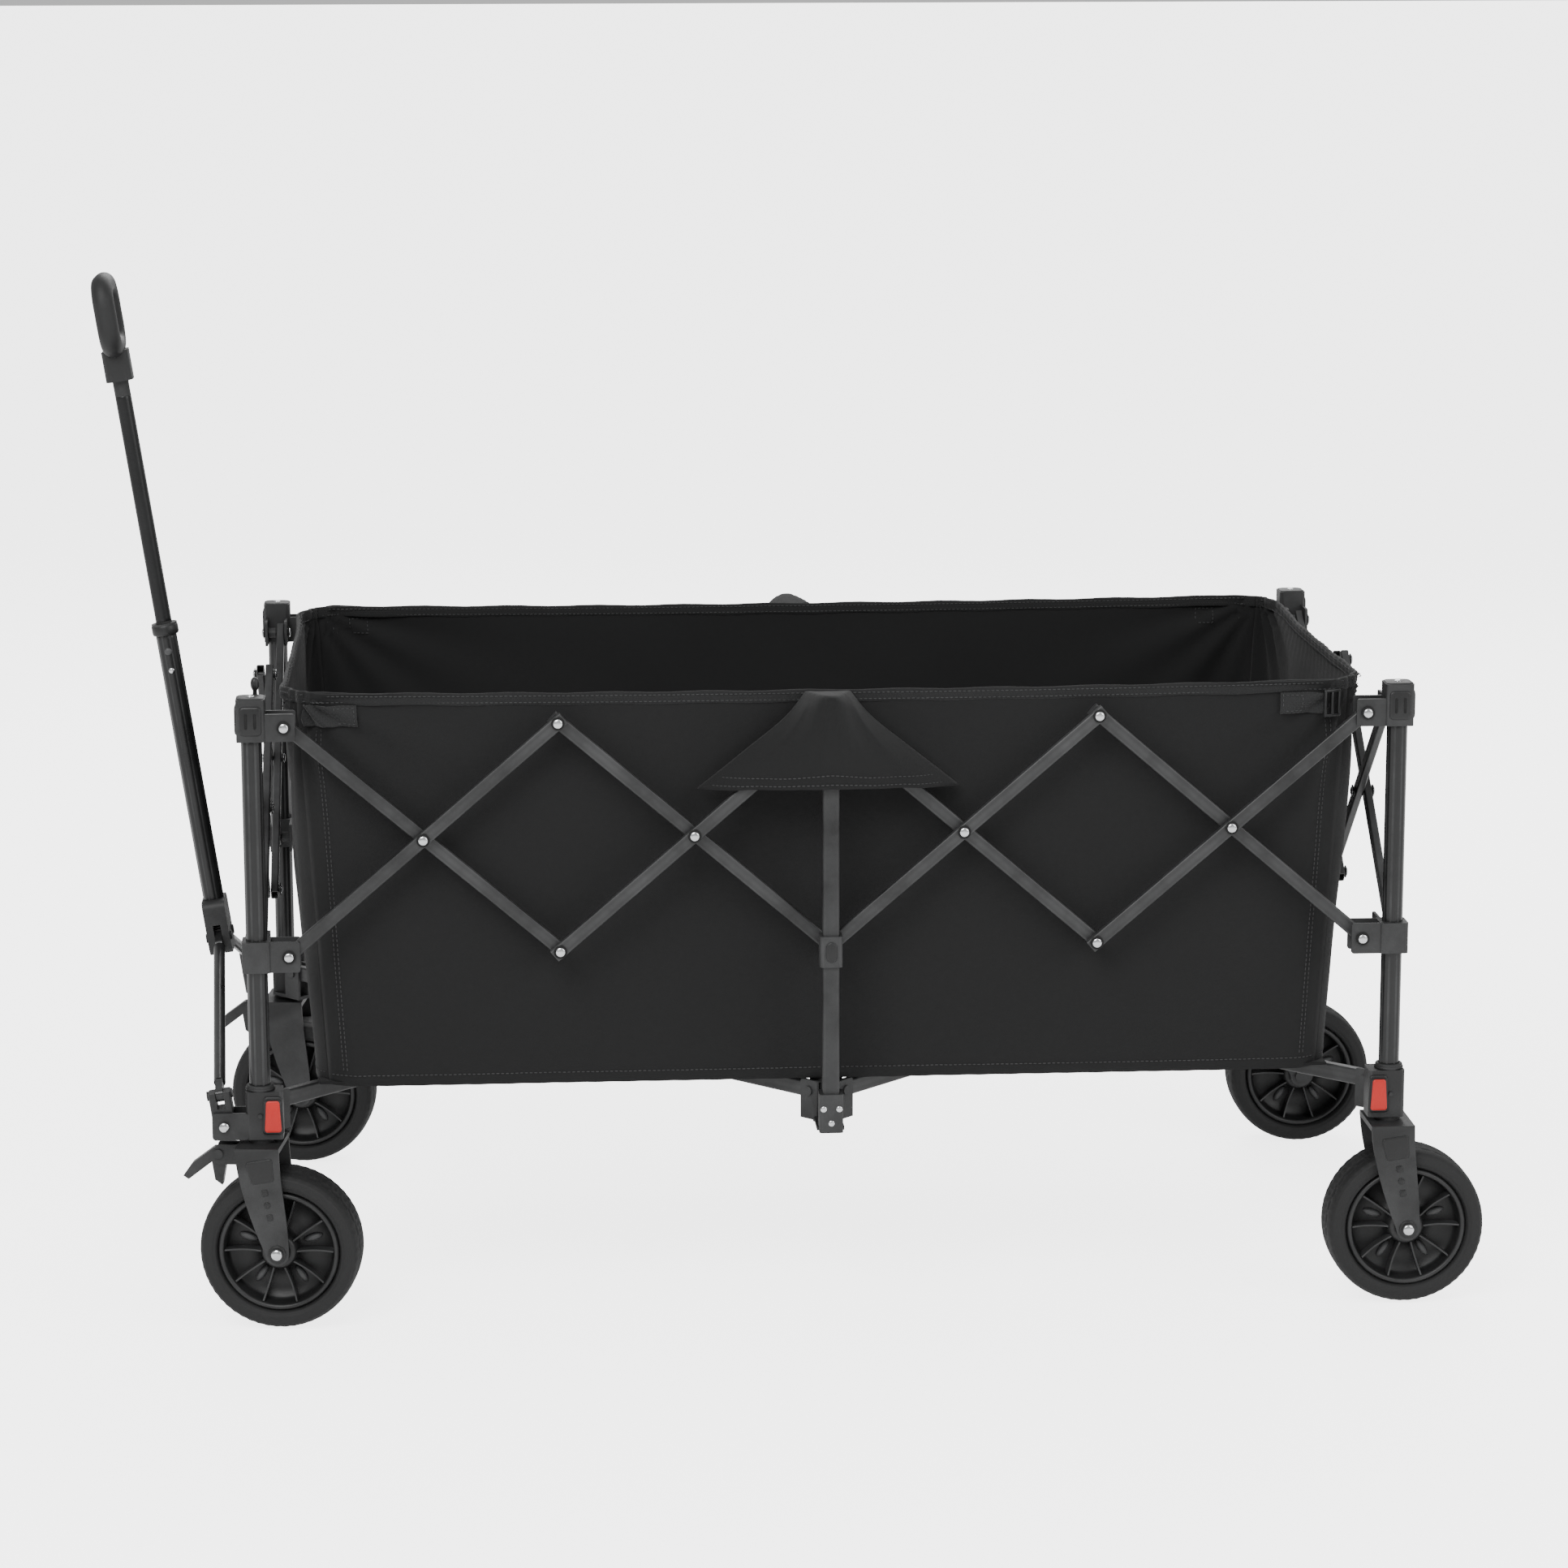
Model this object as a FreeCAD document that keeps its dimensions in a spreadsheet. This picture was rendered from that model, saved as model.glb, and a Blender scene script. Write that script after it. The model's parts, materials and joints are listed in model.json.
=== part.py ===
import FreeCAD, Part
import Sketcher
import math
import os
import re
from types import SimpleNamespace

# Folding wagon with a pull handle, in millimetres. X runs from the handle end (-) to the
# rear (+), Y across the wagon (- is the near side), Z up from the ground. The origin is
# the wagon's centre on the ground. Each sub-part is modelled in a frame of its own, with
# its pivot or post axis at the origin, and its Placement puts it in the wagon.

os.makedirs("parts", exist_ok=True)
doc = FreeCAD.newDocument("folding_wagon")

# ------------------------------------------------------------------ driving dimensions
SIZES = {
    # scissor frame
    "unit_width": 292.0,        # one scissor unit, pivot column to pivot column
    "bar_length": 385.0,        # scissor bar, end pivot to end pivot
    "bar_height": 14.5,
    "bar_depth": 9.0,
    "bar_wall": 1.3,
    "bar_overhang": 8.5,        # bar end beyond its end pivot
    "layer_gap": 1.0,           # between the inner and the outer bar of a unit
    "fold_travel": 111.0,       # how far the sliders move down the posts
    "pivot_radius": 3.0,
    "pivot_clearance": 0.06,
    "rivet_head_radius": 5.2,
    "rivet_head_height": 2.0,
    # posts and their fittings
    "post_offset": 35.0,        # post axis to the nearest pivot column
    "post_radius": 11.0,
    "post_wall": 1.5,
    "post_foot": 240.0,         # height of the tube's lower end
    "post_top": 690.0,
    "middle_post_side": 18.0,
    "top_pivot_height": 664.0,
    "fitting_half": 15.5,       # half the side of a fitting's square block
    "fitting_top": 695.0,
    "cheek_thickness": 3.0,
    "cheek_height": 30.0,
    "slider_height": 34.0,
    "slide_clearance": 0.3,
    "foot_bottom": 211.0,       # lower fittings
    "foot_top": 264.0,
    # base arms and hubs
    "arm_level": 243.0,         # height of the arms' pivots
    "arm_height": 18.0,
    "arm_width": 12.0,
    "arm_wall": 1.5,
    "arm_overhang": 6.0,
    "arm_setback": 15.0,        # corner post axis to arm pivot, along the wagon
    "middle_arm_setback": 14.0, # middle post axis to arm pivot, along the wagon
    "hub_reach": 82.0,          # hub centre to an arm's tip pivot
    "hub_disc_radius": 30.0,
    # casters and wheels
    "wheel_radius": 88.0,
    "wheel_width": 58.0,
    "rim_radius": 65.0,
    "hub_radius": 19.0,
    "axle_radius": 5.0,
    "front_swivel": -7.0,       # degrees that the front casters stand turned
    "front_trail": 20.0,        # front axle behind the swivel axis
    "rear_trail": 19.0,
    "fork_gap": 65.0,           # between the two fork plates
    "fork_plate": 3.0,
    "crown_level": 206.0,
    # handle
    "handle_setback": 39.0,     # post axis to the handle's pitch pivot
    "handle_level": 226.0,
    "handle_lean": 8.4,        # degrees from vertical
    "block_height": 33.0,       # pitch pivot to the rod's foot
    "rod_radius": 6.5,
    "rod_rise": 104.0,          # rod foot to junction, along the leaning handle
    "junction_half": 15.0,      # between the two rod pivots in the junction, halved
    "outer_tube_radius": 11.5,
    "outer_tube_wall": 1.5,
    "outer_tube_length": 338.0,
    "inner_tube_radius": 9.0,
    "inner_tube_wall": 1.5,
    "inner_tube_shown": 288.0,
    "inner_tube_inserted": 40.0,
    "grip_width": 96.0,
    "grip_height": 94.0,
    "grip_radius": 12.0,
    # fabric tub
    "tub_inset_end": 39.0,      # corner post axis to the tub's end wall
    "tub_inset_side": 16.0,     # scissor plane to the tub's side wall
    "tub_bottom": 256.0,
    "tub_top": 694.0,
    "tub_thickness": 3.0,
    "panel_gap": 0.4,
}
s = SimpleNamespace(**SIZES)

sheet = doc.addObject("Spreadsheet::Sheet", "sizes")
for row, (alias, value) in enumerate(SIZES.items(), start=1):
    sheet.set(f"A{row}", alias)
    sheet.set(f"B{row}", str(value))
    sheet.setAlias(f"B{row}", alias)
doc.recompute()

# places worked out from the driving dimensions
rest_angle = math.acos(s.unit_width / s.bar_length)
rise = s.bar_length * math.sin(rest_angle)
slider_level = s.top_pivot_height - rise
folded_width = math.sqrt(s.bar_length**2 - (rise + s.fold_travel) ** 2)
half_long = 2 * s.unit_width + s.post_offset
half_wide = s.unit_width + s.post_offset
layer_middle = (s.bar_depth + s.layer_gap) / 2
layers_half = s.bar_depth + s.layer_gap / 2
cheek_inner = layers_half + 0.5
cheek_outer = cheek_inner + s.cheek_thickness
middle_post_out = cheek_inner + s.cheek_thickness + s.slide_clearance + s.middle_post_side / 2
hub_shift = (s.middle_arm_setback + s.post_offset - s.arm_setback) / 2
arm_inset = s.arm_setback + hub_shift
hub_long = s.unit_width + hub_shift
arm_diagonal = (half_wide - arm_inset) * math.sqrt(2)
arm_length = arm_diagonal - s.hub_reach
rod_span = half_wide - s.junction_half
rod_length = math.hypot(rod_span, s.rod_rise)
rod_angle = math.degrees(math.atan2(rod_span, s.rod_rise))

X, Y, Z = (FreeCAD.Vector(1, 0, 0), FreeCAD.Vector(0, 1, 0), FreeCAD.Vector(0, 0, 1))
UP = FreeCAD.Rotation()
ALONG_X = FreeCAD.Rotation(Z, X)
ALONG_Y = FreeCAD.Rotation(Z, Y)
PIVOT_HOLE = "pivot_radius + pivot_clearance"
nodes = []


# --------------------------------------------------------------------------- helpers
def bind(obj, prop, text):
    """Bind a property to an expression in the sheet's aliases."""
    obj.setExpression(prop, re.sub(r"\b([a-z]+(?:_[a-z]+)+)\b", r"sizes.\1", str(text)))


def place(obj, x, y, z):
    """Bind an object's position to three expressions."""
    for axis, text in zip("xyz", (x, y, z)):
        bind(obj, f"Placement.Base.{axis}", text)


def box(size, centre):
    """A box from its three sizes and its centre, as expressions."""
    obj = doc.addObject("Part::Box", "block")
    for prop, text in zip(("Length", "Width", "Height"), size):
        bind(obj, prop, text)
    place(obj, *[f"({c}) - ({d}) / 2" for c, d in zip(centre, size)])
    return obj


def cylinder(radius, length, centre, turn=UP):
    """A cylinder about its centre; turn sends Z to its axis."""
    obj = doc.addObject("Part::Cylinder", "round")
    bind(obj, "Radius", radius)
    bind(obj, "Height", length)
    way = turn.multVec(Z)
    start = [f"({c}) - ({w:.9f}) * ({length}) / 2" for c, w in zip(centre, way)]
    obj.Placement.Rotation = turn
    place(obj, *start)
    return obj


def fuse(*shapes):
    obj = doc.addObject("Part::MultiFuse", "joined")
    obj.Shapes = list(shapes)
    obj.Refine = True
    return obj


def cut(base, *tools):
    """The base less every tool."""
    for tool in tools:
        obj = doc.addObject("Part::Cut", "cut")
        obj.Base, obj.Tool = base, tool
        obj.Refine = True
        base = obj
    return base


def rounded(base, axis, radius, keep=lambda edge: True):
    """Round the base's straight edges that run along an axis."""
    doc.recompute()
    obj = doc.addObject("Part::Fillet", "rounded")
    obj.Base = base
    obj.Edges = [
        (number, radius, radius)
        for number, edge in enumerate(base.Shape.Edges, start=1)
        if isinstance(edge.Curve, Part.Line)
        and abs(edge.Curve.Direction.dot(axis)) > 0.999
        and keep(edge)
    ]
    return obj


def turned(obj, rotation, shift=FreeCAD.Vector()):
    """A copy of an object, turned and then shifted, as a compound of one."""
    out = doc.addObject("Part::Compound", "turned")
    out.Links = [obj]
    out.Placement = FreeCAD.Placement(shift, rotation)
    return out


def node(label, pieces, position=(0, 0, 0), rotation=UP):
    """One sub-part: its pieces gathered in one compound, placed in the wagon."""
    obj = doc.addObject("Part::Compound", label)
    obj.Label = label
    obj.Links = list(pieces)
    obj.Placement = FreeCAD.Placement(FreeCAD.Vector(*position), rotation)
    nodes.append(obj)
    return obj


def body_sketch(name, role):
    """A PartDesign body with an empty sketch on one of its origin planes."""
    body = doc.addObject("PartDesign::Body", name)
    plane = next(f for f in body.Origin.OriginFeatures if f.Role == role)
    sketch = body.newObject("Sketcher::SketchObject", f"{name}_profile")
    sketch.AttachmentSupport = [(plane, "")]
    sketch.MapMode = "FlatFace"
    return body, sketch


def outline(sketch, points):
    """A closed outline of straight lines through the points."""
    corners = [FreeCAD.Vector(a, b, 0) for a, b in points]
    for start, end in zip(corners, corners[1:] + corners[:1]):
        sketch.addGeometry(Part.LineSegment(start, end), False)


def padded(name, role, points, length):
    """A pad of a straight-sided outline, half its length to each side of the plane."""
    body, sketch = body_sketch(name, role)
    outline(sketch, points)
    pad = body.newObject("PartDesign::Pad", f"{name}_pad")
    pad.Profile = sketch
    pad.Midplane = True
    bind(pad, "Length", length)
    return body


def ring_tube(name, outer, wall, length):
    """A round tube along Z from a sketch of two circles, standing on the XY plane."""
    body, sketch = body_sketch(name, "XY_Plane")
    for radius, text in ((10, f"({outer}) - ({wall})"), (15, outer)):
        index = sketch.addGeometry(Part.Circle(FreeCAD.Vector(), Z, radius), False)
        sketch.addConstraint(Sketcher.Constraint("Coincident", index, 3, -1, 1))
        number = sketch.addConstraint(Sketcher.Constraint("Radius", index, radius))
        bind(sketch, f"Constraints[{number}]", text)
    pad = body.newObject("PartDesign::Pad", f"{name}_pad")
    pad.Profile = sketch
    bind(pad, "Length", length)
    return body


def revolved(name, points):
    """A full turn of an outline in the XZ plane about Z."""
    body, sketch = body_sketch(name, "XZ_Plane")
    outline(sketch, points)
    turn = body.newObject("PartDesign::Revolution", f"{name}_turn")
    turn.Profile = sketch
    turn.ReferenceAxis = (sketch, ["V_Axis"])
    turn.Angle = 360
    return body


def pin(grip_half, collar=0, turn=ALONG_Y, centre=(0, 0, 0)):
    """A domed rivet across a clevis; collar is +1 or -1 for the layer that it fills."""
    head = s.rivet_head_height
    reach = grip_half + head / 2 + 0.05
    way = turn.multVec(Z)
    parts = [cylinder("pivot_radius", 2 * grip_half + 1, centre, turn)]
    for side in (-1, 1):
        spot = [c + side * reach * w for c, w in zip(centre, way)]
        parts.append(cylinder("rivet_head_radius", "rivet_head_height", spot, turn))
    if collar:
        spot = [c + collar * layer_middle * w for c, w in zip(centre, way)]
        parts.append(cylinder("pivot_radius * 2", "bar_depth - 0.4", spot, turn))
    return fuse(*parts)


# --------------------------------------------------------------------- scissor units
def bar(layer, crossing_rivet, open_end):
    """A hollow scissor bar along X with its first pivot at the origin.

    layer is +1 for the outer bar and -1 for the inner one. The bar that is hinged first
    carries the crossing rivet. Its far end has a rivet of its own where open_end is set.
    """
    y = layer * layer_middle
    length = "bar_length + 2 * bar_overhang"
    skin = rounded(box((length, "bar_depth", "bar_height"), ("bar_length / 2", y, 0)), X, 2.0)
    hollow = box(
        (f"{length} + 2", "bar_depth - 2 * bar_wall", "bar_height - 2 * bar_wall"),
        ("bar_length / 2", y, 0),
    )
    holes = [
        cylinder(PIVOT_HOLE, "bar_depth + 2", (spot, y, 0), ALONG_Y)
        for spot in (0, "bar_length / 2", "bar_length")
    ]
    pieces = [cut(skin, hollow, *holes)]
    if crossing_rivet:
        pieces.append(pin(layers_half, centre=(s.bar_length / 2, 0, 0)))
    if open_end:
        shank = cylinder("pivot_radius", "bar_depth", ("bar_length", y, 0), ALONG_Y)
        out = y + layer * (s.bar_depth + s.rivet_head_height + 0.1) / 2
        head = cylinder("rivet_head_radius", "rivet_head_height", ("bar_length", out, 0), ALONG_Y)
        pieces.append(fuse(shank, head))
    return pieces


def along(direction, outward):
    """The rotation that sends X to direction and Y to outward."""
    return FreeCAD.Rotation(direction, outward, direction.cross(outward), "XYZ")


# one side or end of the frame: name, outward normal, and each unit's first pivot column
# with the way that the unit runs from it
side_plane, end_plane = half_wide, half_long
first, middle, last = 2 * s.unit_width, 0.0, 2 * s.unit_width
FACES = {
    "near": (-Y, [(-first, X), (middle, -X), (middle, X), (last, -X)]),
    "far": (Y, [(first, -X), (middle, X), (middle, -X), (-last, X)]),
    "front": (-X, [(s.unit_width, -Y), (-s.unit_width, Y)]),
    "rear": (X, [(-s.unit_width, Y), (s.unit_width, -Y)]),
}
bar_shapes = {
    (layer, rivet): bar(layer, rivet, True) for layer in (1, -1) for rivet in (True, False)
}
for face, (normal, units) in FACES.items():
    across = Z.cross(normal)
    plane = side_plane if face in ("near", "far") else end_plane
    for number, (column, way) in enumerate(units, start=1):
        layer = -1 if way.dot(across) > 0 else 1
        along_axis = X if face in ("near", "far") else Y
        corner = normal * plane + along_axis * column
        top = corner + Z * s.top_pivot_height
        low = corner + Z * slider_level
        down = way * math.cos(rest_angle) - Z * math.sin(rest_angle)
        up = way * math.cos(rest_angle) + Z * math.sin(rest_angle)
        node(f"{face}_bar_{number}_top", bar_shapes[layer, True], top, along(down, normal))
        node(f"{face}_bar_{number}_low", bar_shapes[-layer, False], low, along(up, normal))


# ------------------------------------------------------------------ posts and sliders
def clevis(way, side, level, height):
    """Two cheeks and a web along way (X or Y) from a post, to hold both bar layers."""
    reach = s.post_offset + 12.0
    start = s.fitting_half - 4.0
    sizes = ("post_offset + 12 - fitting_half + 4", "cheek_thickness", height)
    middle = side * (reach + start) / 2
    cheeks = []
    for layer in (-1, 1):
        offset = layer * (cheek_inner + s.cheek_thickness / 2)
        if way == X:
            cheeks.append(rounded(box(sizes, (middle, offset, level)), Y, 3.0))
        else:
            swapped = (sizes[1], sizes[0], sizes[2])
            cheeks.append(rounded(box(swapped, (offset, middle, level)), X, 3.0))
    return cheeks


def corner_block(height, level, hole, side_x, side_y):
    """A fitting block around a corner post, with a clevis each way, and its two pins."""
    side = "2 * fitting_half"
    block = rounded(box((side, side, height), (0, 0, level)), Z, 4.0)
    shapes = [block, *clevis(X, side_x, level, height), *clevis(Y, side_y, level, height)]
    tools = [cylinder(hole, f"({height}) + 10", (0, 0, level))]
    for turn, spot in (
        (ALONG_Y, (side_x * s.post_offset, 0, level)),
        (ALONG_X, (0, side_y * s.post_offset, level)),
    ):
        tools.append(cylinder(PIVOT_HOLE, "4 * fitting_half", spot, turn))
    return shapes, tools


def corner_pins(level, side_x, side_y, inner_first):
    """The two pivot pins of a corner; inner_first tells which layer the X bar is in."""
    outward_y, outward_x = -side_y, -side_x
    collar_y = outward_y if inner_first else -outward_y
    collar_x = -outward_x if inner_first else outward_x
    return [
        pin(cheek_outer, collar_y, ALONG_Y, (side_x * s.post_offset, 0, level)),
        pin(cheek_outer, collar_x, ALONG_X, (0, side_y * s.post_offset, level)),
    ]


def arm_bracket(side_x, side_y, setback):
    """Floor plate and two cheeks for one base arm, turned along the arm's diagonal."""
    arm_half = s.arm_width / 2 + 0.3
    cheek = s.cheek_thickness
    turn = math.degrees(math.atan2(side_y, side_x))
    rotation = FreeCAD.Rotation(Z, turn)
    pivot = FreeCAD.Vector(side_x * setback, side_y * arm_inset, 0)
    bottom = s.foot_bottom
    top = s.arm_level + s.arm_height / 2 + 3
    back = 34.0
    front = 12.0
    floor = box(
        (back + front, 2 * (arm_half + cheek), 4.0), ((front - back) / 2, 0, bottom + 2)
    )
    cheeks = [
        rounded(
            box((2 * front, cheek, top - bottom), (0, k * (arm_half + cheek / 2), (top + bottom) / 2)),
            Y,
            3.0,
            lambda edge: edge.CenterOfMass.z > s.arm_level,
        )
        for k in (-1, 1)
    ]
    shape = cut(
        fuse(floor, *cheeks),
        cylinder(PIVOT_HOLE, 40, (0, 0, "arm_level"), ALONG_Y),
    )
    rivet = pin(arm_half + cheek, 0, ALONG_Y, (0, 0, s.arm_level))
    return turned(shape, rotation, pivot), turned(rivet, rotation, pivot)


def post_tube():
    tube = ring_tube("corner_tube", "post_radius", "post_wall", "post_top - post_foot")
    return turned(tube, UP, Z * s.post_foot)


tube = post_tube()


def foot(side_x, side_y, holds_handle):
    """The lower corner fitting, with its release button and screw, and the handle's clevis."""
    height = "foot_top - foot_bottom"
    level = (s.foot_top + s.foot_bottom) / 2
    wide = s.fitting_half * 2 + 9.0
    block = rounded(box((wide, "2 * fitting_half", height), (side_x * 4.5, 0, level)), Z, 4.0)
    collar = cylinder("fitting_half - 0.5", 5, (0, 0, s.foot_top + 2.0))
    bracket, arm_pin = arm_bracket(side_x, side_y, s.arm_setback)
    tools = [
        cylinder("post_radius + 0.05", 60, (0, 0, s.post_foot + 29.9)),
        cylinder("axle_radius + pivot_clearance", 7, (0, 0, s.foot_bottom + 3.0)),
    ]
    shapes = [block, collar, bracket]
    pieces = [arm_pin]
    if holds_handle:
        reach = s.handle_setback + 13.0
        lug = (reach - s.fitting_half + 3.0, 3.0, 30.0)
        centre_x = -side_x * (reach + s.fitting_half - 3.0) / 2
        for k in (-1, 1):
            spot = (centre_x, k * 13.8, s.handle_level)
            shapes.append(rounded(box(lug, spot), Y, 4.0))
        tools.append(
            cylinder(PIVOT_HOLE, 60, (-side_x * s.handle_setback, 0, s.handle_level), ALONG_Y)
        )
    outward = -side_y
    button = rounded(
        box((17, 5, 36), (side_x * 14.0, outward * (s.fitting_half + 2.55), level)), Y, 2.0
    )
    screw = cylinder(2.4, 2, (0, outward * (s.fitting_half + 1.05), level), ALONG_Y)
    return [cut(fuse(*shapes), *tools), button, screw, *pieces]


def fork_outline(trail):
    """Fork plate in the XZ plane: a wide top that narrows to a round end at the axle."""
    top, axle, end = s.crown_level, s.wheel_radius, 13.0
    steps = [i / 8 for i in range(9)]
    rake = [(t, t * t * (3 - 2 * t)) for t in steps]
    rear = [(24 + (trail + end - 24) * e, top - (top - axle) * t) for t, e in rake]
    tip = [
        (trail + end * math.cos(a), axle - end * math.sin(a))
        for a in (math.pi * k / 8 for k in range(1, 8))
    ]
    fore = [(-24 + (trail - end + 24) * t ** 1.6, top - (top - axle) * t) for t in steps]
    return rear + tip + fore[::-1]


def fork(name, trail):
    """Crown plate, two fork plates and their axle bolt, about the swivel or post axis."""
    side = s.fork_gap / 2 + s.fork_plate / 2
    plate = padded(name, "XZ_Plane", fork_outline(trail), "fork_plate")
    plates = [turned(plate, UP, Y * k * side) for k in (-1, 1)]
    crown = rounded(
        box((48, "fork_gap + 2 * fork_plate", 6), (0, 0, s.crown_level - 3)), X, 2.0
    )
    hole = cylinder("axle_radius + pivot_clearance", 90, (trail, 0, "wheel_radius"), ALONG_Y)
    frame = cut(fuse(crown, *plates), hole)
    half = s.fork_gap / 2 + s.fork_plate
    axle = cylinder("axle_radius", 2 * half + 0.2, (trail, 0, "wheel_radius"), ALONG_Y)
    heads = [
        cylinder(7, 4, (trail, k * (half + 2.05), "wheel_radius"), ALONG_Y) for k in (-1, 1)
    ]
    return frame, fuse(axle, *heads)


def wheel_pieces():
    """Tyre and rim about the wheel's own axis, which is Z here."""
    half = s.wheel_width / 2
    out, rim, hub = s.wheel_radius, s.rim_radius, s.hub_radius
    tyre = revolved("tyre", [
        (rim, -half + 4), (rim + 3, -half + 1), (out - 10, -half), (out - 3, -half + 4),
        (out, -half + 11), (out, half - 11), (out - 3, half - 4), (out - 10, half),
        (rim + 3, half - 1), (rim, half - 4),
    ])
    bore = s.axle_radius + s.pivot_clearance
    rest = rim - 0.05
    rim_body = revolved("rim", [
        (bore, -half), (hub, -half), (hub + 4, -4), (rest - 6, -4), (rest - 4, -half + 4),
        (rest, -half + 4), (rest, half - 4), (rest - 4, half - 4), (rest - 6, 4),
        (hub + 4, 4), (hub, half), (bore, half),
    ])
    return [tyre, rim_body]


tyre_and_rim = wheel_pieces()
forks = {trail: fork(name, trail) for name, trail in (
    ("front_fork", s.front_trail), ("rear_fork", s.rear_trail))}
BRAKE_PIVOT = (-46.0, 193.0)
swivelled = FreeCAD.Rotation(Z, s.front_swivel)
neck_height = s.foot_bottom - s.crown_level
neck_level = (s.foot_bottom + s.crown_level) / 2
CORNERS = {
    "front_near": (-1, -1), "front_far": (-1, 1), "rear_near": (1, -1), "rear_far": (1, 1),
}
for corner, (sign_x, sign_y) in CORNERS.items():
    side_x, side_y = -sign_x, -sign_y
    inner_first = sign_x == sign_y
    front = sign_x < 0
    spot = (sign_x * half_long, sign_y * half_wide, 0)
    shapes, tools = corner_block(
        "cheek_height", s.top_pivot_height, "post_radius + 0.05", side_x, side_y
    )
    cap_size = ("2 * fitting_half", "2 * fitting_half", "fitting_top - top_pivot_height")
    cap_level = (s.fitting_top + s.top_pivot_height) / 2
    cap = rounded(box(cap_size, (0, 0, cap_level)), Z, 4.0)
    tools[0] = cylinder("post_radius + 0.05", 80, (0, 0, s.post_top - 39.9))
    pieces = [tube, cut(fuse(*shapes, cap), *tools)]
    pieces += corner_pins(s.top_pivot_height, side_x, side_y, inner_first)
    pieces += foot(side_x, side_y, corner == "front_near")
    if not front:
        rear_frame, rear_axle = forks[s.rear_trail]
        neck = cylinder("fitting_half - 2", neck_height - 0.2, (0, 0, neck_level))
        pieces += [rear_frame, rear_axle, neck]
    node(f"{corner}_post", pieces, spot)

    shapes, tools = corner_block(
        "slider_height", slider_level, "post_radius + slide_clearance", side_x, side_y
    )
    pins = corner_pins(slider_level, side_x, side_y, not inner_first)
    node(f"{corner}_slider", [cut(fuse(*shapes), *tools), *pins], spot)

    trail = s.front_trail if front else s.rear_trail
    heading = swivelled if front else UP
    axle_spot = FreeCAD.Vector(*spot) + heading.multVec(X * trail) + Z * s.wheel_radius
    node(f"{corner}_wheel", tyre_and_rim, axle_spot, heading.multiply(ALONG_Y))
    if front:
        frame, axle = forks[s.front_trail]
        neck = cylinder("fitting_half - 2", neck_height + 1.8, (0, 0, neck_level - 1.1))
        stem = cylinder("axle_radius", 6, (0, 0, s.foot_bottom + 1.0))
        px, pz = BRAKE_PIVOT
        ears = [
            rounded(box((32, 3, 22), (px + 13, k * 8.0, pz - 1)), Y, 3.0) for k in (-1, 1)
        ]
        body = cut(
            fuse(frame, neck, stem, *ears), cylinder(PIVOT_HOLE, 30, (px, 0, pz), ALONG_Y)
        )
        node(f"{corner}_fork", [body, axle, pin(9.5, 0, ALONG_Y, (px, 0, pz))], spot, heading)
        lever = padded(f"{corner}_lever", "XZ_Plane", [
            (px - 6, pz + 6), (px + 7, pz + 6), (px + 8, pz - 8), (px + 3, pz - 36),
            (px - 5, pz - 30), (px - 8, pz - 10), (px - 34, pz - 30), (px - 40, pz - 26),
            (px - 30, pz - 12),
        ], 12.5)
        lever_cut = cut(lever, cylinder(PIVOT_HOLE, 30, (px, 0, pz), ALONG_Y))
        node(f"{corner}_brake_pedal", [lever_cut], spot, heading)


def middle_sleeve(side_y, height, level, hole_margin):
    """A sleeve around a middle post; its pin reaches inward through both bar layers."""
    outer = s.middle_post_side + 2 * (hole_margin + s.cheek_thickness)
    inner = s.middle_post_side + 2 * hole_margin
    shell = rounded(box((outer, outer, height), (0, 0, level)), Z, 4.0)
    shape = cut(shell, box((inner, inner, f"({height}) + 2"), (0, 0, level)))
    wall = s.middle_post_side / 2 + hole_margin + 0.1
    tip = middle_post_out + layers_half + 0.2
    shank = cylinder("pivot_radius", tip - wall, (0, side_y * (tip + wall) / 2, level), ALONG_Y)
    head_spot = (0, side_y * (tip + s.rivet_head_height / 2), level)
    head = cylinder("rivet_head_radius", "rivet_head_height", head_spot, ALONG_Y)
    drilled = cut(shape, cylinder(PIVOT_HOLE, 40, (0, side_y * (wall + 20.1), level), ALONG_Y))
    return [drilled, fuse(shank, head)]


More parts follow.
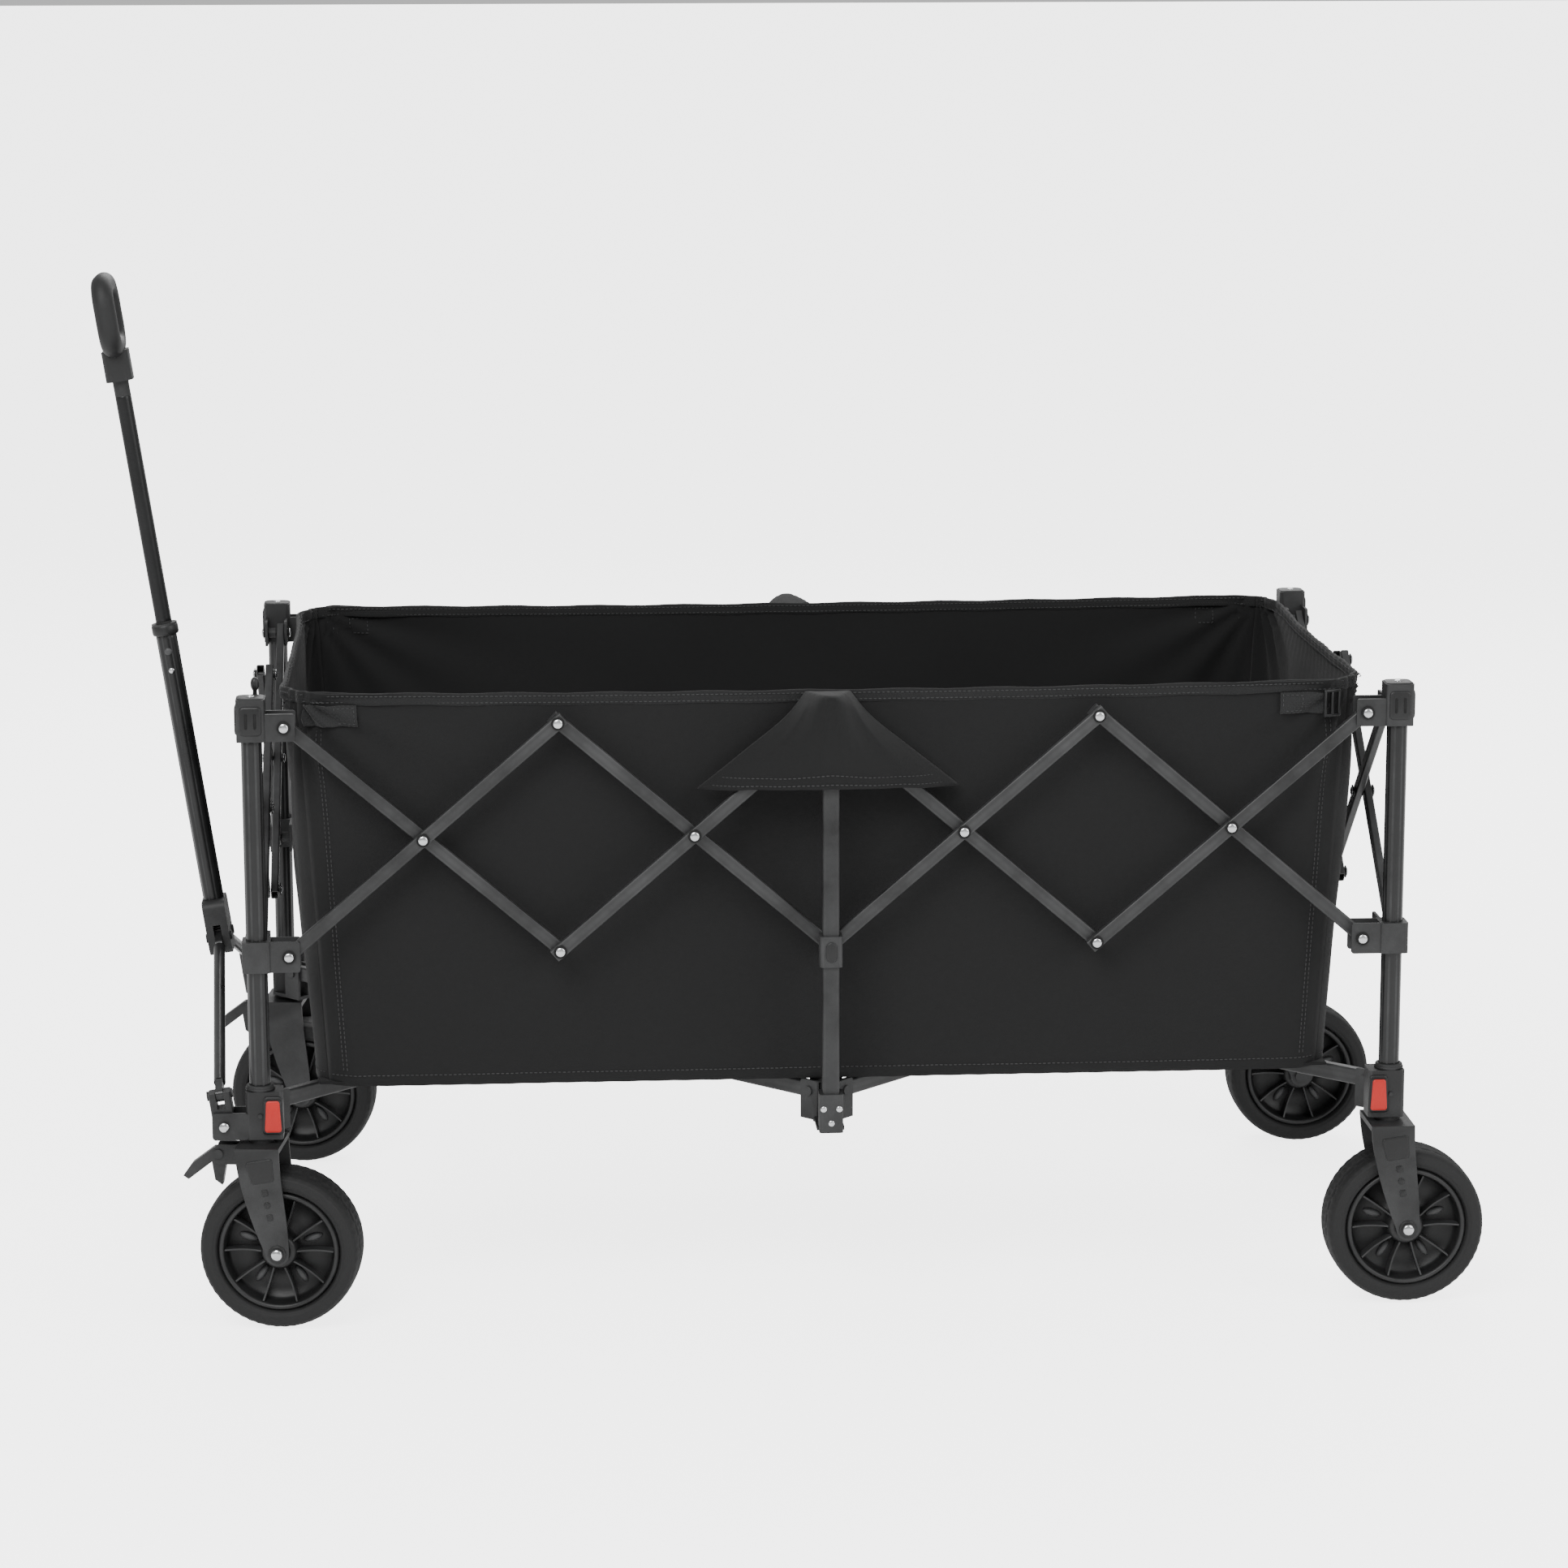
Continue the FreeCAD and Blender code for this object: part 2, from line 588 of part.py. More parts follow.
for name, sign_y in (("near", -1), ("far", 1)):
    side_y = -sign_y
    spot = (0, sign_y * (half_wide + middle_post_out), 0)
    square = ("middle_post_side", "middle_post_side", "post_top - foot_bottom - 4")
    level = (s.post_top + s.foot_bottom + 4) / 2
    skin = rounded(box(square, (0, 0, level)), Z, 3.0)
    hollow = box(
        ("middle_post_side - 2 * post_wall",) * 2 + ("post_top - foot_bottom",), (0, 0, level)
    )
    pieces = [cut(skin, hollow)]
    pieces += middle_sleeve(side_y, "cheek_height", s.top_pivot_height, 0.05)
    foot_level = (s.foot_bottom + s.foot_top - 10) / 2
    foot_height = s.foot_top - 10 - s.foot_bottom
    wide = s.middle_post_side + 8.0
    bracket = rounded(box((wide, wide, foot_height), (0, 0, foot_level)), Z, 4.0)
    socket = box(
        ("middle_post_side + 0.1",) * 2 + (foot_height,), (0, 0, foot_level + 4.0)
    )
    inset = arm_inset + middle_post_out
    brackets, pins = [], []
    for side_x in (-1, 1):
        shape, rivet = arm_bracket(side_x, side_y, s.middle_arm_setback)
        brackets.append(turned(shape, UP, Y * side_y * middle_post_out))
        pins.append(turned(rivet, UP, Y * side_y * middle_post_out))
    bridge_reach = inset - 6.0
    bridge = box((30, bridge_reach, 4), (0, side_y * bridge_reach / 2, s.foot_bottom + 2))
    pieces += [cut(fuse(bracket, bridge, *brackets), socket), *pins]
    node(f"{name}_middle_post", pieces, spot)
    node(
        f"{name}_middle_slider",
        middle_sleeve(side_y, "slider_height", slider_level, s.slide_clearance),
        spot,
    )

# -------------------------------------------------------------------- base arms, hubs
arm_size = (f"{arm_length} + 2 * arm_overhang", "arm_width", "arm_height")
arm_skin = rounded(box(arm_size, (arm_length / 2, 0, 0)), X, 2.5)
arm_hollow = box(
    (f"{arm_length} + 20", "arm_width - 2 * arm_wall", "arm_height - 2 * arm_wall"),
    (arm_length / 2, 0, 0),
)
arm_holes = [cylinder(PIVOT_HOLE, 30, (spot, 0, 0), ALONG_Y) for spot in (0, arm_length)]
arm = cut(arm_skin, arm_hollow, *arm_holes)
tip_pin = cylinder("pivot_radius", "arm_width + 0.4", (arm_length, 0, 0), ALONG_Y)
for name, sign_x in (("front", -1), ("rear", 1)):
    for side, sign_y in (("near", -1), ("far", 1)):
        for place_name, base_x, way_x in (
            ("corner", sign_x * (half_long - s.arm_setback), -sign_x),
            ("middle", sign_x * s.middle_arm_setback, sign_x),
        ):
            turn = math.degrees(math.atan2(-sign_y, way_x))
            pivot = (base_x, sign_y * (half_wide - arm_inset), s.arm_level)
            node(
                f"{name}_{side}_{place_name}_arm",
                [arm, tip_pin],
                pivot,
                FreeCAD.Rotation(Z, turn),
            )
    low = s.arm_level - s.arm_height / 2 - 7.0
    high = s.arm_level + s.arm_height / 2
    disc = cylinder("hub_disc_radius", 6, (0, 0, low + 3))
    fork_reach = s.hub_reach + 9.0
    blades = []
    for quarter in range(4):
        for k in (-1, 1):
            blade = box(
                (fork_reach - 12.0, 3.0, high - low),
                ((fork_reach + 12.0) / 2, k * (s.arm_width / 2 + 2.0), (low + high) / 2),
            )
            blades.append(turned(blade, FreeCAD.Rotation(Z, 45 + 90 * quarter)))
    node(f"{name}_hub", [fuse(disc, *blades)], (sign_x * hub_long, 0, 0))

# -------------------------------------------------------------------------- handle
lean = math.radians(s.handle_lean)
leaning = FreeCAD.Rotation(Y, -s.handle_lean)
pitch_x = -half_long - s.handle_setback
pitch = FreeCAD.Vector(pitch_x, 0, s.handle_level)
rod_foot = leaning.multVec(Z * s.block_height)
junction = pitch + rod_foot + leaning.multVec(Z * s.rod_rise)


def rod_block():
    """The square plastic block at a rod's foot, its pitch pivot at the origin."""
    tall = s.block_height + 16.0
    shell = rounded(box((24, 22, tall), (0, 0, tall / 2 - 12.0)), Z, 3.0)
    slot = box((9, 60, 30), (0, 0, s.block_height + 1.0))
    pivot = cylinder(PIVOT_HOLE, 60, (0, 0, 0), ALONG_Y)
    return shell, slot, pivot


def rod(side):
    """A rod from its foot at the origin to the junction; side is +1 towards +Y."""
    turn = FreeCAD.Rotation(X, -side * rod_angle)
    shank = cylinder("rod_radius", rod_length - 47.0, (0, 0, rod_length / 2))
    ends = [
        rounded(box((8, 14, 31), (0, 0, level)), X, 5.0) for level in (8.5, rod_length - 8.5)
    ]
    holes = [cylinder(PIVOT_HOLE, 30, (0, 0, level), ALONG_X) for level in (0, rod_length)]
    return turned(cut(fuse(shank, *ends), *holes), turn)


block_shell, slot, pivot_hole = rod_block()
swing_hole = cylinder(PIVOT_HOLE, 40, (0, 0, "block_height"), ALONG_X)
block = cut(block_shell, slot, pivot_hole, swing_hole)
swing_pin = pin(12.0, 0, ALONG_X, (0, 0, s.block_height))
pitch_bolt = pin(15.3, 0, ALONG_Y)
node(
    "handle_near_block",
    [block, swing_pin, pitch_bolt],
    (pitch_x, -half_wide, s.handle_level),
    leaning,
)
foot_spot = pitch + rod_foot
node("handle_near_rod", [rod(1)], (foot_spot.x, -half_wide, foot_spot.z), leaning)
far_block = turned(cut(block_shell, slot, pivot_hole), UP, Z * -s.block_height)
far_pivot = turned(pin(11.0, 0, ALONG_Y), UP, Z * -s.block_height)
node(
    "handle_far_rod",
    [rod(-1), far_block, far_pivot],
    (foot_spot.x, half_wide, foot_spot.z),
    leaning,
)

# the junction, the outer tube and its end collar, about the middle between the rod pivots
cavity = s.junction_half * 2 + 20.0
junction_shell = rounded(box((26, cavity + 4, 62), (0, 0, 12)), X, 8.0)
mouth = box((8.6, cavity + 10, 40), (0, 0, -4.0))
holes = [
    cylinder(PIVOT_HOLE, 60, (0, k * s.junction_half, 0), ALONG_X) for k in (-1, 1)
]
seat = cylinder("outer_tube_radius + 0.05", 60, (0, 0, 50.0))
junction_body = cut(junction_shell, mouth, *holes, seat)
junction_pins = [pin(13.0, 0, ALONG_X, (0, k * s.junction_half, 0)) for k in (-1, 1)]
outer_tube = turned(
    ring_tube("handle_outer", "outer_tube_radius", "outer_tube_wall", "outer_tube_length"),
    UP,
    Z * 20.1,
)
collar_level = 20.1 + s.outer_tube_length
collar = cut(
    cylinder("outer_tube_radius + 3", 9, (0, 0, collar_level + 4.6)),
    cylinder("inner_tube_radius + slide_clearance", 12, (0, 0, collar_level + 4.6)),
)
node(
    "handle_outer_tube",
    [junction_body, *junction_pins, outer_tube, collar],
    junction,
    leaning,
)

inner_length = "inner_tube_shown + inner_tube_inserted"
inner_tube = ring_tube("handle_inner", "inner_tube_radius", "inner_tube_wall", inner_length)
inner_tube = turned(inner_tube, UP, Z * -s.inner_tube_inserted)
grip_half = s.grip_width / 2 - s.grip_radius
loop_low, loop_high = 30.0, 30.0 + s.grip_height - 2 * s.grip_radius
grip_body, grip_path = body_sketch("grip", "YZ_Plane")
corner_radius = 22.0
arc_across, arc_low, arc_high = (
    grip_half - corner_radius, loop_low + corner_radius, loop_high - corner_radius
)
arc_centres = [
    (arc_across, arc_high), (-arc_across, arc_high), (-arc_across, arc_low), (arc_across, arc_low)
]
for index, (a, b) in enumerate(arc_centres):
    circle = Part.Circle(FreeCAD.Vector(a, b, 0), Z, corner_radius)
    start = index * math.pi / 2
    grip_path.addGeometry(Part.ArcOfCircle(circle, start, start + math.pi / 2), False)
for index in range(4):
    here, after = arc_centres[index], arc_centres[(index + 1) % 4]
    out = (index + 1) * math.pi / 2
    shift = FreeCAD.Vector(corner_radius * math.cos(out), corner_radius * math.sin(out), 0)
    start = FreeCAD.Vector(*here, 0) + shift
    end = FreeCAD.Vector(*after, 0) + shift
    grip_path.addGeometry(Part.LineSegment(start, end), False)
section = grip_body.newObject("Sketcher::SketchObject", "grip_section")
grip_planes = {feature.Role: feature for feature in grip_body.Origin.OriginFeatures}
section.AttachmentSupport = [(grip_planes["XZ_Plane"], "")]
section.MapMode = "FlatFace"
section.addGeometry(Part.Circle(FreeCAD.Vector(0, loop_high, 0), Z, s.grip_radius), False)
grip_pipe = grip_body.newObject("PartDesign::AdditivePipe", "grip_pipe")
grip_pipe.Profile = section
grip_pipe.Spine = (grip_path, [])
collar_seat = rounded(box((30, 34, 34), (0, 0, 8.0)), Z, 8.0)
grip_neck = cut(collar_seat, cylinder("inner_tube_radius + 0.05", 40, (0, 0, 0)))
grip = turned(fuse(grip_body, grip_neck), UP, Z * s.inner_tube_shown)
mouth_level = collar_level + 9.1
node(
    "handle_inner_tube",
    [inner_tube, grip],
    junction + leaning.multVec(Z * mouth_level),
    leaning,
)

# ------------------------------------------------------------------------ fabric tub
tub_long = half_long - s.tub_inset_end
tub_wide = half_wide - s.tub_inset_side
tall = s.tub_top - s.tub_bottom
wall = s.tub_thickness
gap = s.panel_gap
middle_level = (s.tub_top + s.tub_bottom) / 2
floor_long = 2 * (tub_long - wall - gap)
floor_wide = 2 * (tub_wide - wall - gap)
panels = [box((floor_long, floor_wide, wall), (0, 0, s.tub_bottom + wall / 2))]
for k in (-1, 1):
    panels.append(box((2 * tub_long, wall, tall), (0, k * (tub_wide - wall / 2), middle_level)))
    panels.append(box((wall, floor_wide, tall), (k * (tub_long - wall / 2), 0, middle_level)))
node("fabric_tub", panels)

# -------------------------------------------------------------------- check and write
doc.recompute()
for obj in doc.Objects:
    broken = [word for word in obj.State if word in ("Invalid", "Error")]
    if broken:
        raise RuntimeError(f"{obj.Name} ({obj.Label}) is {broken}")
for obj in nodes:
    if obj.Shape.isNull() or not obj.Shape.isValid():
        raise RuntimeError(f"{obj.Label} has no valid shape")
    obj.Shape.exportStep(f"parts/{obj.Label}.step")
print(f"{len(nodes)} sub-parts written")
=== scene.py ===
import json
import math

import bmesh
import bpy
import numpy as np
from mathutils import Matrix, Vector

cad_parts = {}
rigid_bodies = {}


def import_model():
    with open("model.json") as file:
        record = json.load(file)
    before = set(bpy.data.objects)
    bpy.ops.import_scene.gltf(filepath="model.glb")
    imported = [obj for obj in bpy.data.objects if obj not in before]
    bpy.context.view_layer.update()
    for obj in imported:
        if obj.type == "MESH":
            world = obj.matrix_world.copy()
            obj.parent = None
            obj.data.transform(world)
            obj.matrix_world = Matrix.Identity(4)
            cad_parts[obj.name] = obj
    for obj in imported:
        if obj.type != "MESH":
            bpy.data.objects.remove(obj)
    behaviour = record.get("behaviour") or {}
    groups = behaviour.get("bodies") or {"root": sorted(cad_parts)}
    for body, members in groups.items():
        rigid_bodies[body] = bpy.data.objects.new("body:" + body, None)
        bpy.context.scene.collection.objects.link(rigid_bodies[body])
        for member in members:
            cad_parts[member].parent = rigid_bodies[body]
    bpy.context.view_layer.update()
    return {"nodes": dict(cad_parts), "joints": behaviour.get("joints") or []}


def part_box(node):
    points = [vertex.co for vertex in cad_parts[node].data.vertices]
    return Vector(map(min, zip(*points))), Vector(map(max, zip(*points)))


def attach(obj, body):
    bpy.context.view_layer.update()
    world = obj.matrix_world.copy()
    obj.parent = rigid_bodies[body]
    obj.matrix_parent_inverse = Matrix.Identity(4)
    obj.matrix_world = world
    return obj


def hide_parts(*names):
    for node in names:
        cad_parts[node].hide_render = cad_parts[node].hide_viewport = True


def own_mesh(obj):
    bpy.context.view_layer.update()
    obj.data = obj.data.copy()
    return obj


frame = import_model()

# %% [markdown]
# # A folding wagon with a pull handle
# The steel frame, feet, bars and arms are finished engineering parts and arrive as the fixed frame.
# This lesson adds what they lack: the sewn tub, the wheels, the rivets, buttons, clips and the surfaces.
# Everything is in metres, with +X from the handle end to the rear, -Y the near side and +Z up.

JOINTS = {joint["name"]: joint for joint in frame["joints"]}
TAU = 2 * math.pi


def pivot(name):
    """A joint's own point, as an array."""
    return np.array(JOINTS[name]["pos_m"], float)


def axis_of(name):
    """A joint's own direction, as a unit array."""
    way = np.array(JOINTS[name]["axis"], float)
    return way / np.linalg.norm(way)


def box(node):
    """A frame part's lowest and highest corners, as two arrays."""
    low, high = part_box(node)
    return np.array(low), np.array(high)


tub_low, tub_high = box("fabric_tub")
tub_middle = (tub_low + tub_high) / 2
print("tub", tub_low.round(3), tub_high.round(3))

# %% [markdown]
# ## Meshes from grids
# Almost every surface here is a grid of points: a profile turned about an axis, an outline stacked in
# layers, or a sheet drawn over two lengths. One helper turns such a grid into faces, so the piece's own
# function only has to say where its points are.

# %% Turning a grid of points into a piece


def grid_faces(rows, columns, close_rows=False, close_columns=False):
    """Four-cornered faces between neighbouring points of a rows x columns grid, wrapped where asked."""
    row = np.arange(rows if close_rows else rows - 1)[:, None]
    column = np.arange(columns if close_columns else columns - 1)[None, :]
    next_row, next_column = (row + 1) % rows, (column + 1) % columns
    corners = [row * columns + column, next_row * columns + column,
               next_row * columns + next_column, row * columns + next_column]
    return np.stack(np.broadcast_arrays(*corners), axis=-1).reshape(-1, 4)


def add_piece(name, points, faces, material, body, slot, cut=None, smooth=True, outward=True):
    """A mesh object at the origin that rides on a body. cut gives each point's place on the flat cloth."""
    mesh = bpy.data.meshes.new(name)
    mesh.from_pydata(np.asarray(points, float).reshape(-1, 3).tolist(), [],
                     [list(map(int, face)) for face in faces])
    if cut is not None:
        layer = mesh.uv_layers.new(name="cut")
        corner = np.zeros(len(mesh.loops), int)
        mesh.loops.foreach_get("vertex_index", corner)
        layer.data.foreach_set("uv", np.asarray(cut, float).reshape(-1, 2)[corner].ravel())
    if outward:
        shape = bmesh.new()
        shape.from_mesh(mesh)
        bmesh.ops.recalc_face_normals(shape, faces=shape.faces)
        shape.to_mesh(mesh)
        shape.free()
    mesh.polygons.foreach_set("use_smooth", [smooth] * len(mesh.polygons))
    mesh.materials.append(material)
    thing = bpy.data.objects.new(name, mesh)
    bpy.context.scene.collection.objects.link(thing)
    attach(thing, body)
    return thing


def join(parts):
    """Several (points, faces) shapes as one, with the faces renumbered."""
    points, faces, start = [], [], 0
    for shape_points, shape_faces in parts:
        flat = np.asarray(shape_points, float).reshape(-1, 3)
        points.append(flat)
        faces += [[int(corner) + start for corner in face] for face in shape_faces]
        start += len(flat)
    return np.concatenate(points), faces


def frame_of(way, up=(0, 0, 1)):
    """Three unit arrays: along the way, across it, and the third that makes them square."""
    way = np.asarray(way, float) / np.linalg.norm(way)
    across = np.cross(up, way)
    if np.linalg.norm(across) < 1e-6:
        across = np.cross((1, 0, 0), way)
    across /= np.linalg.norm(across)
    return way, across, np.cross(way, across)


# %% [markdown]
# ## Stacked outlines
# A button, clip, panel or rivet head is an outline that rises in layers and shrinks a little at each
# one, which gives it the soft edge of a moulded part. The outline is a rounded rectangle whose two ends
# may differ in width, and a disc is only its roundest case.

# %% Outlines, plates and turned shapes


def tapered_outline(bottom, top, height, radius, steps=5):
    """A rounded four-sided outline: its corners are quarter circles between straight sides."""
    corners = [(bottom / 2, -height / 2, -90), (top / 2, height / 2, 0),
               (-top / 2, height / 2, 90), (-bottom / 2, -height / 2, 180)]
    turn = np.radians(np.linspace(0, 90, steps))
    rows = []
    for x, y, start in corners:
        centre = np.array([x - math.copysign(radius, x), y - math.copysign(radius, y)])
        angle = turn + math.radians(start)
        rows.append(centre + radius * np.stack([np.cos(angle), np.sin(angle)], axis=1))
    return np.concatenate(rows)


def disc_outline(radius, steps=28):
    """A circle."""
    angle = np.linspace(0, TAU, steps, endpoint=False)
    return radius * np.stack([np.cos(angle), np.sin(angle)], axis=1)


def plate(outline, layers, centre, out, up=(0, 0, 1)):
    """An outline at each (height, share of its size), joined by faces and shut at each end."""
    way, across, rise = frame_of(out, up)
    heights = np.array([height for height, _ in layers])[:, None, None]
    shares = np.array([share for _, share in layers])[:, None, None]
    flat = outline[None] * shares
    points = np.asarray(centre) + way * heights + across * flat[..., :1] + rise * flat[..., 1:]
    rows, columns = len(layers), len(outline)
    faces = grid_faces(rows, columns, close_columns=True).tolist()
    faces.append(list(range(columns)))
    faces.append(list(range((rows - 1) * columns, rows * columns)))
    return points, faces


def turned(profile, centre, axis, steps=64, wave=None):
    """A closed (radius, along) profile carried round an axis. wave(angle, share) adds to the radius."""
    way, across, rise = frame_of(axis)
    profile = np.asarray(profile, float)
    angle = np.linspace(0, TAU, steps, endpoint=False)[:, None]
    radius = profile[None, :, 0]
    if wave is not None:
        radius = radius + wave(angle, np.linspace(0, 1, len(profile))[None, :])
    along = np.broadcast_to(profile[None, :, 1], (steps, len(profile)))
    points = (np.asarray(centre) + way * along[..., None] + across * (radius * np.cos(angle))[..., None]
              + rise * (radius * np.sin(angle))[..., None])
    return points, grid_faces(steps, len(profile), True, True)


def carried(path, profile, up=(0, 0, 1), closed=False):
    """A closed profile (across, rise) carried along a path of points, shut at both ends if it is open."""
    path, profile = np.asarray(path, float), np.asarray(profile, float)
    way = np.gradient(path, axis=0)
    way /= np.linalg.norm(way, axis=1)[:, None]
    across = np.cross(np.broadcast_to(up, path.shape), way)
    across /= np.linalg.norm(across, axis=1)[:, None]
    rise = np.cross(way, across)
    points = path[:, None] + across[:, None] * profile[None, :, :1] + rise[:, None] * profile[None, :, 1:]
    rows, columns = points.shape[:2]
    faces = grid_faces(rows, columns, closed, True).tolist()
    if not closed:
        faces.append(list(range(columns)))
        faces.append(list(range((rows - 1) * columns, rows * columns)))
    return points, faces


DOME = [(0, 1), (0.35, 1), (0.62, 0.9), (0.86, 0.68), (1, 0.34)]


def dome_layers(height, base=0.0):
    """The layers of a shallow round head of that height."""
    return [(base + height * rise, share) for rise, share in DOME]


SOFT_EDGE = [(0, 1), (0.6, 1), (0.85, 0.96), (1, 0.86)]


def soft_layers(height, base=0.0):
    """The layers of a moulded panel of that height, with a rounded upper edge."""
    return [(base + height * rise, share) for rise, share in SOFT_EDGE]


# %% [markdown]
# ## Finishes
# The whole wagon is black, so its parts are told apart by gloss and grain. Two shader groups carry the
# effects that several finishes use: `moulded_grain`, the fine spark-eroded texture and handling marks of
# plastic and paint, and `basket_weave`, the crossing threads of bag cloth and webbing.

# %% Shader groups


def new_group(name, inputs, outputs):
    """An empty shader group with plain number inputs and outputs."""
    tree = bpy.data.node_groups.new(name, "ShaderNodeTree")
    for label, value in inputs:
        socket = tree.interface.new_socket(label, in_out="INPUT", socket_type="NodeSocketFloat")
        socket.default_value = value
    for label in outputs:
        tree.interface.new_socket(label, in_out="OUTPUT", socket_type="NodeSocketFloat")
    return tree, tree.nodes.new("NodeGroupInput"), tree.nodes.new("NodeGroupOutput")


def calculate(tree, operation, *values):
    """A Math node fed by sockets or by plain numbers."""
    node = tree.nodes.new("ShaderNodeMath")
    node.operation = operation
    for place, value in enumerate(values):
        if isinstance(value, (int, float)):
            node.inputs[place].default_value = value
        else:
            tree.links.new(value, node.inputs[place])
    return node.outputs[0]


def clipped(tree, value):
    """A value held between 0 and 1."""
    return calculate(tree, "MINIMUM", calculate(tree, "MAXIMUM", value, 0.0), 1.0)


def noise(tree, vector, scale, detail=3.0, roughness=0.55):
    """A noise texture whose scale may be a socket or a number."""
    node = tree.nodes.new("ShaderNodeTexNoise")
    tree.links.new(vector, node.inputs["Vector"])
    node.inputs["Detail"].default_value = detail
    node.inputs["Roughness"].default_value = roughness
    if isinstance(scale, (int, float)):
        node.inputs["Scale"].default_value = scale
    else:
        tree.links.new(scale, node.inputs["Scale"])
    return node.outputs["Fac"]


def build_moulded_grain():
    """Height is fine noise. Marks is wide, soft noise, pushed towards its ends. Edge is worn corners."""
    inputs = [("Grain per metre", 900.0), ("Marks per metre", 14.0)]
    tree, given, result = new_group("moulded_grain", inputs, ["Height", "Marks", "Edge"])
    place = tree.nodes.new("ShaderNodeTexCoord").outputs["Object"]
    tree.links.new(noise(tree, place, given.outputs[0], 2.0), result.inputs["Height"])
    wide = noise(tree, place, given.outputs[1], 5.0, 0.65)
    marks = calculate(tree, "MULTIPLY_ADD", wide, 2.4, -0.7)
    tree.links.new(clipped(tree, marks), result.inputs["Marks"])
    sharp = tree.nodes.new("ShaderNodeNewGeometry").outputs["Pointiness"]
    edge = calculate(tree, "MULTIPLY_ADD", sharp, 9.0, -4.75)
    tree.links.new(calculate(tree, "MULTIPLY", clipped(tree, edge), marks), result.inputs["Edge"])
    return tree


def build_basket_weave():
    """Height is the taller of two crossing rows of threads, each a sine, that take turns on top."""
    tree, given, result = new_group("basket_weave", [("Threads per metre", 1500.0), ("Slub", 0.25)],
                                    ["Height", "Dust"])
    place = tree.nodes.new("ShaderNodeUVMap")
    place.uv_map = "cut"
    split = tree.nodes.new("ShaderNodeSeparateXYZ")
    tree.links.new(place.outputs["UV"], split.inputs[0])
    rate = calculate(tree, "MULTIPLY", given.outputs[0], math.pi)
    along = calculate(tree, "SINE", calculate(tree, "MULTIPLY", split.outputs["X"], rate))
    across = calculate(tree, "SINE", calculate(tree, "MULTIPLY", split.outputs["Y"], rate))
    over = calculate(tree, "MULTIPLY", along, across)
    rows = calculate(tree, "MAXIMUM", calculate(tree, "ABSOLUTE", along),
                     calculate(tree, "ABSOLUTE", across))
    threads = calculate(tree, "MULTIPLY_ADD", over, 0.35, rows)
    slub = noise(tree, place.outputs["UV"], 260.0, 2.0)
    tree.links.new(calculate(tree, "ADD", threads, calculate(tree, "MULTIPLY", slub, given.outputs[1])),
                   result.inputs["Height"])
    object_place = tree.nodes.new("ShaderNodeTexCoord").outputs["Object"]
    dust = calculate(tree, "MULTIPLY_ADD", noise(tree, object_place, 5.0, 6.0, 0.6), 2.6, -0.9)
    tree.links.new(clipped(tree, dust), result.inputs["Dust"])
    return tree


MOULDED_GRAIN = build_moulded_grain()
BASKET_WEAVE = build_basket_weave()
print("shader groups", [group.name for group in bpy.data.node_groups])

# %% Materials from the groups


def mixed(tree, share, first, second):
    """A colour between two, by a share that changes over the surface."""
    node = tree.nodes.new("ShaderNodeMix")
    node.data_type = "RGBA"
    tree.links.new(share, node.inputs["Factor"])
    for place, colour in ((6, first), (7, second)):
        if isinstance(colour, tuple):
            node.inputs[place].default_value = (*colour, 1)
        else:
            tree.links.new(colour, node.inputs[place])
    return node.outputs[2]


def grey(level):
    """A neutral colour, a touch cool."""
    return (level * 0.97, level * 0.985, level)


def new_finish(name, group, values, low_rough, high_rough, bump, depth, masks):
    """A material: masks[0] is the group's height, masks[1] the mask that spreads its roughness."""
    material = bpy.data.materials.new(name)
    material.use_nodes = True
    tree = material.node_tree
    shader = tree.nodes["Principled BSDF"]
    effect = tree.nodes.new("ShaderNodeGroup")
    effect.node_tree = group
    for place, value in enumerate(values):
        effect.inputs[place].default_value = value
    height = tree.nodes.new("ShaderNodeBump")
    height.inputs["Strength"].default_value = bump
    height.inputs["Distance"].default_value = depth
    tree.links.new(effect.outputs[masks[0]], height.inputs["Height"])
    tree.links.new(height.outputs["Normal"], shader.inputs["Normal"])
    rough = calculate(tree, "MULTIPLY_ADD", effect.outputs[masks[1]], high_rough - low_rough, low_rough)
    tree.links.new(rough, shader.inputs["Roughness"])
    return material, tree, shader, effect


def hard_finish(name, dark, light, worn, rough, grain, bump, metallic=0.0, coat=0.0):
    """Plastic, paint or metal: dark and light by handling marks, and a worn tone on its sharp edges."""
    material, tree, shader, effect = new_finish(name, MOULDED_GRAIN, (grain, 14.0), rough[0], rough[1],
                                                bump, 0.0004, ("Height", "Marks"))
    body = mixed(tree, effect.outputs["Marks"], dark, light)
    tree.links.new(mixed(tree, effect.outputs["Edge"], body, worn), shader.inputs["Base Color"])
    shader.inputs["Metallic"].default_value = metallic
    shader.inputs["Coat Weight"].default_value = coat
    shader.inputs["Coat Roughness"].default_value = 0.25
    shader.inputs["Specular IOR Level"].default_value = 0.35
    return material


def cloth_finish(name, dark, dusty, threads, bump, sheen):
    """Woven cloth: a dark thread with a little pale dust, a raised weave with painted shade in it (raised
    threads lighter, the hollows between them darker), and a soft sheen.
    """
    material, tree, shader, effect = new_finish(name, BASKET_WEAVE, (threads, 0.25), 0.82, 0.95,
                                                bump, 0.0005, ("Height", "Dust"))
    tone = mixed(tree, effect.outputs["Dust"], dark, dusty)
    # Painted shade: the colour goes lighter with the weave's height, so the hollows between the threads stay
    # darker.
    thread = mixed(tree, calculate(tree, "MULTIPLY", effect.outputs["Height"], 0.45), tone,
                   tuple(1.5 * level for level in dark))
    tree.links.new(thread, shader.inputs["Base Color"])
    shader.inputs["Sheen Weight"].default_value = sheen
    shader.inputs["Sheen Roughness"].default_value = 0.5
    shader.inputs["Specular IOR Level"].default_value = 0.25
    return material


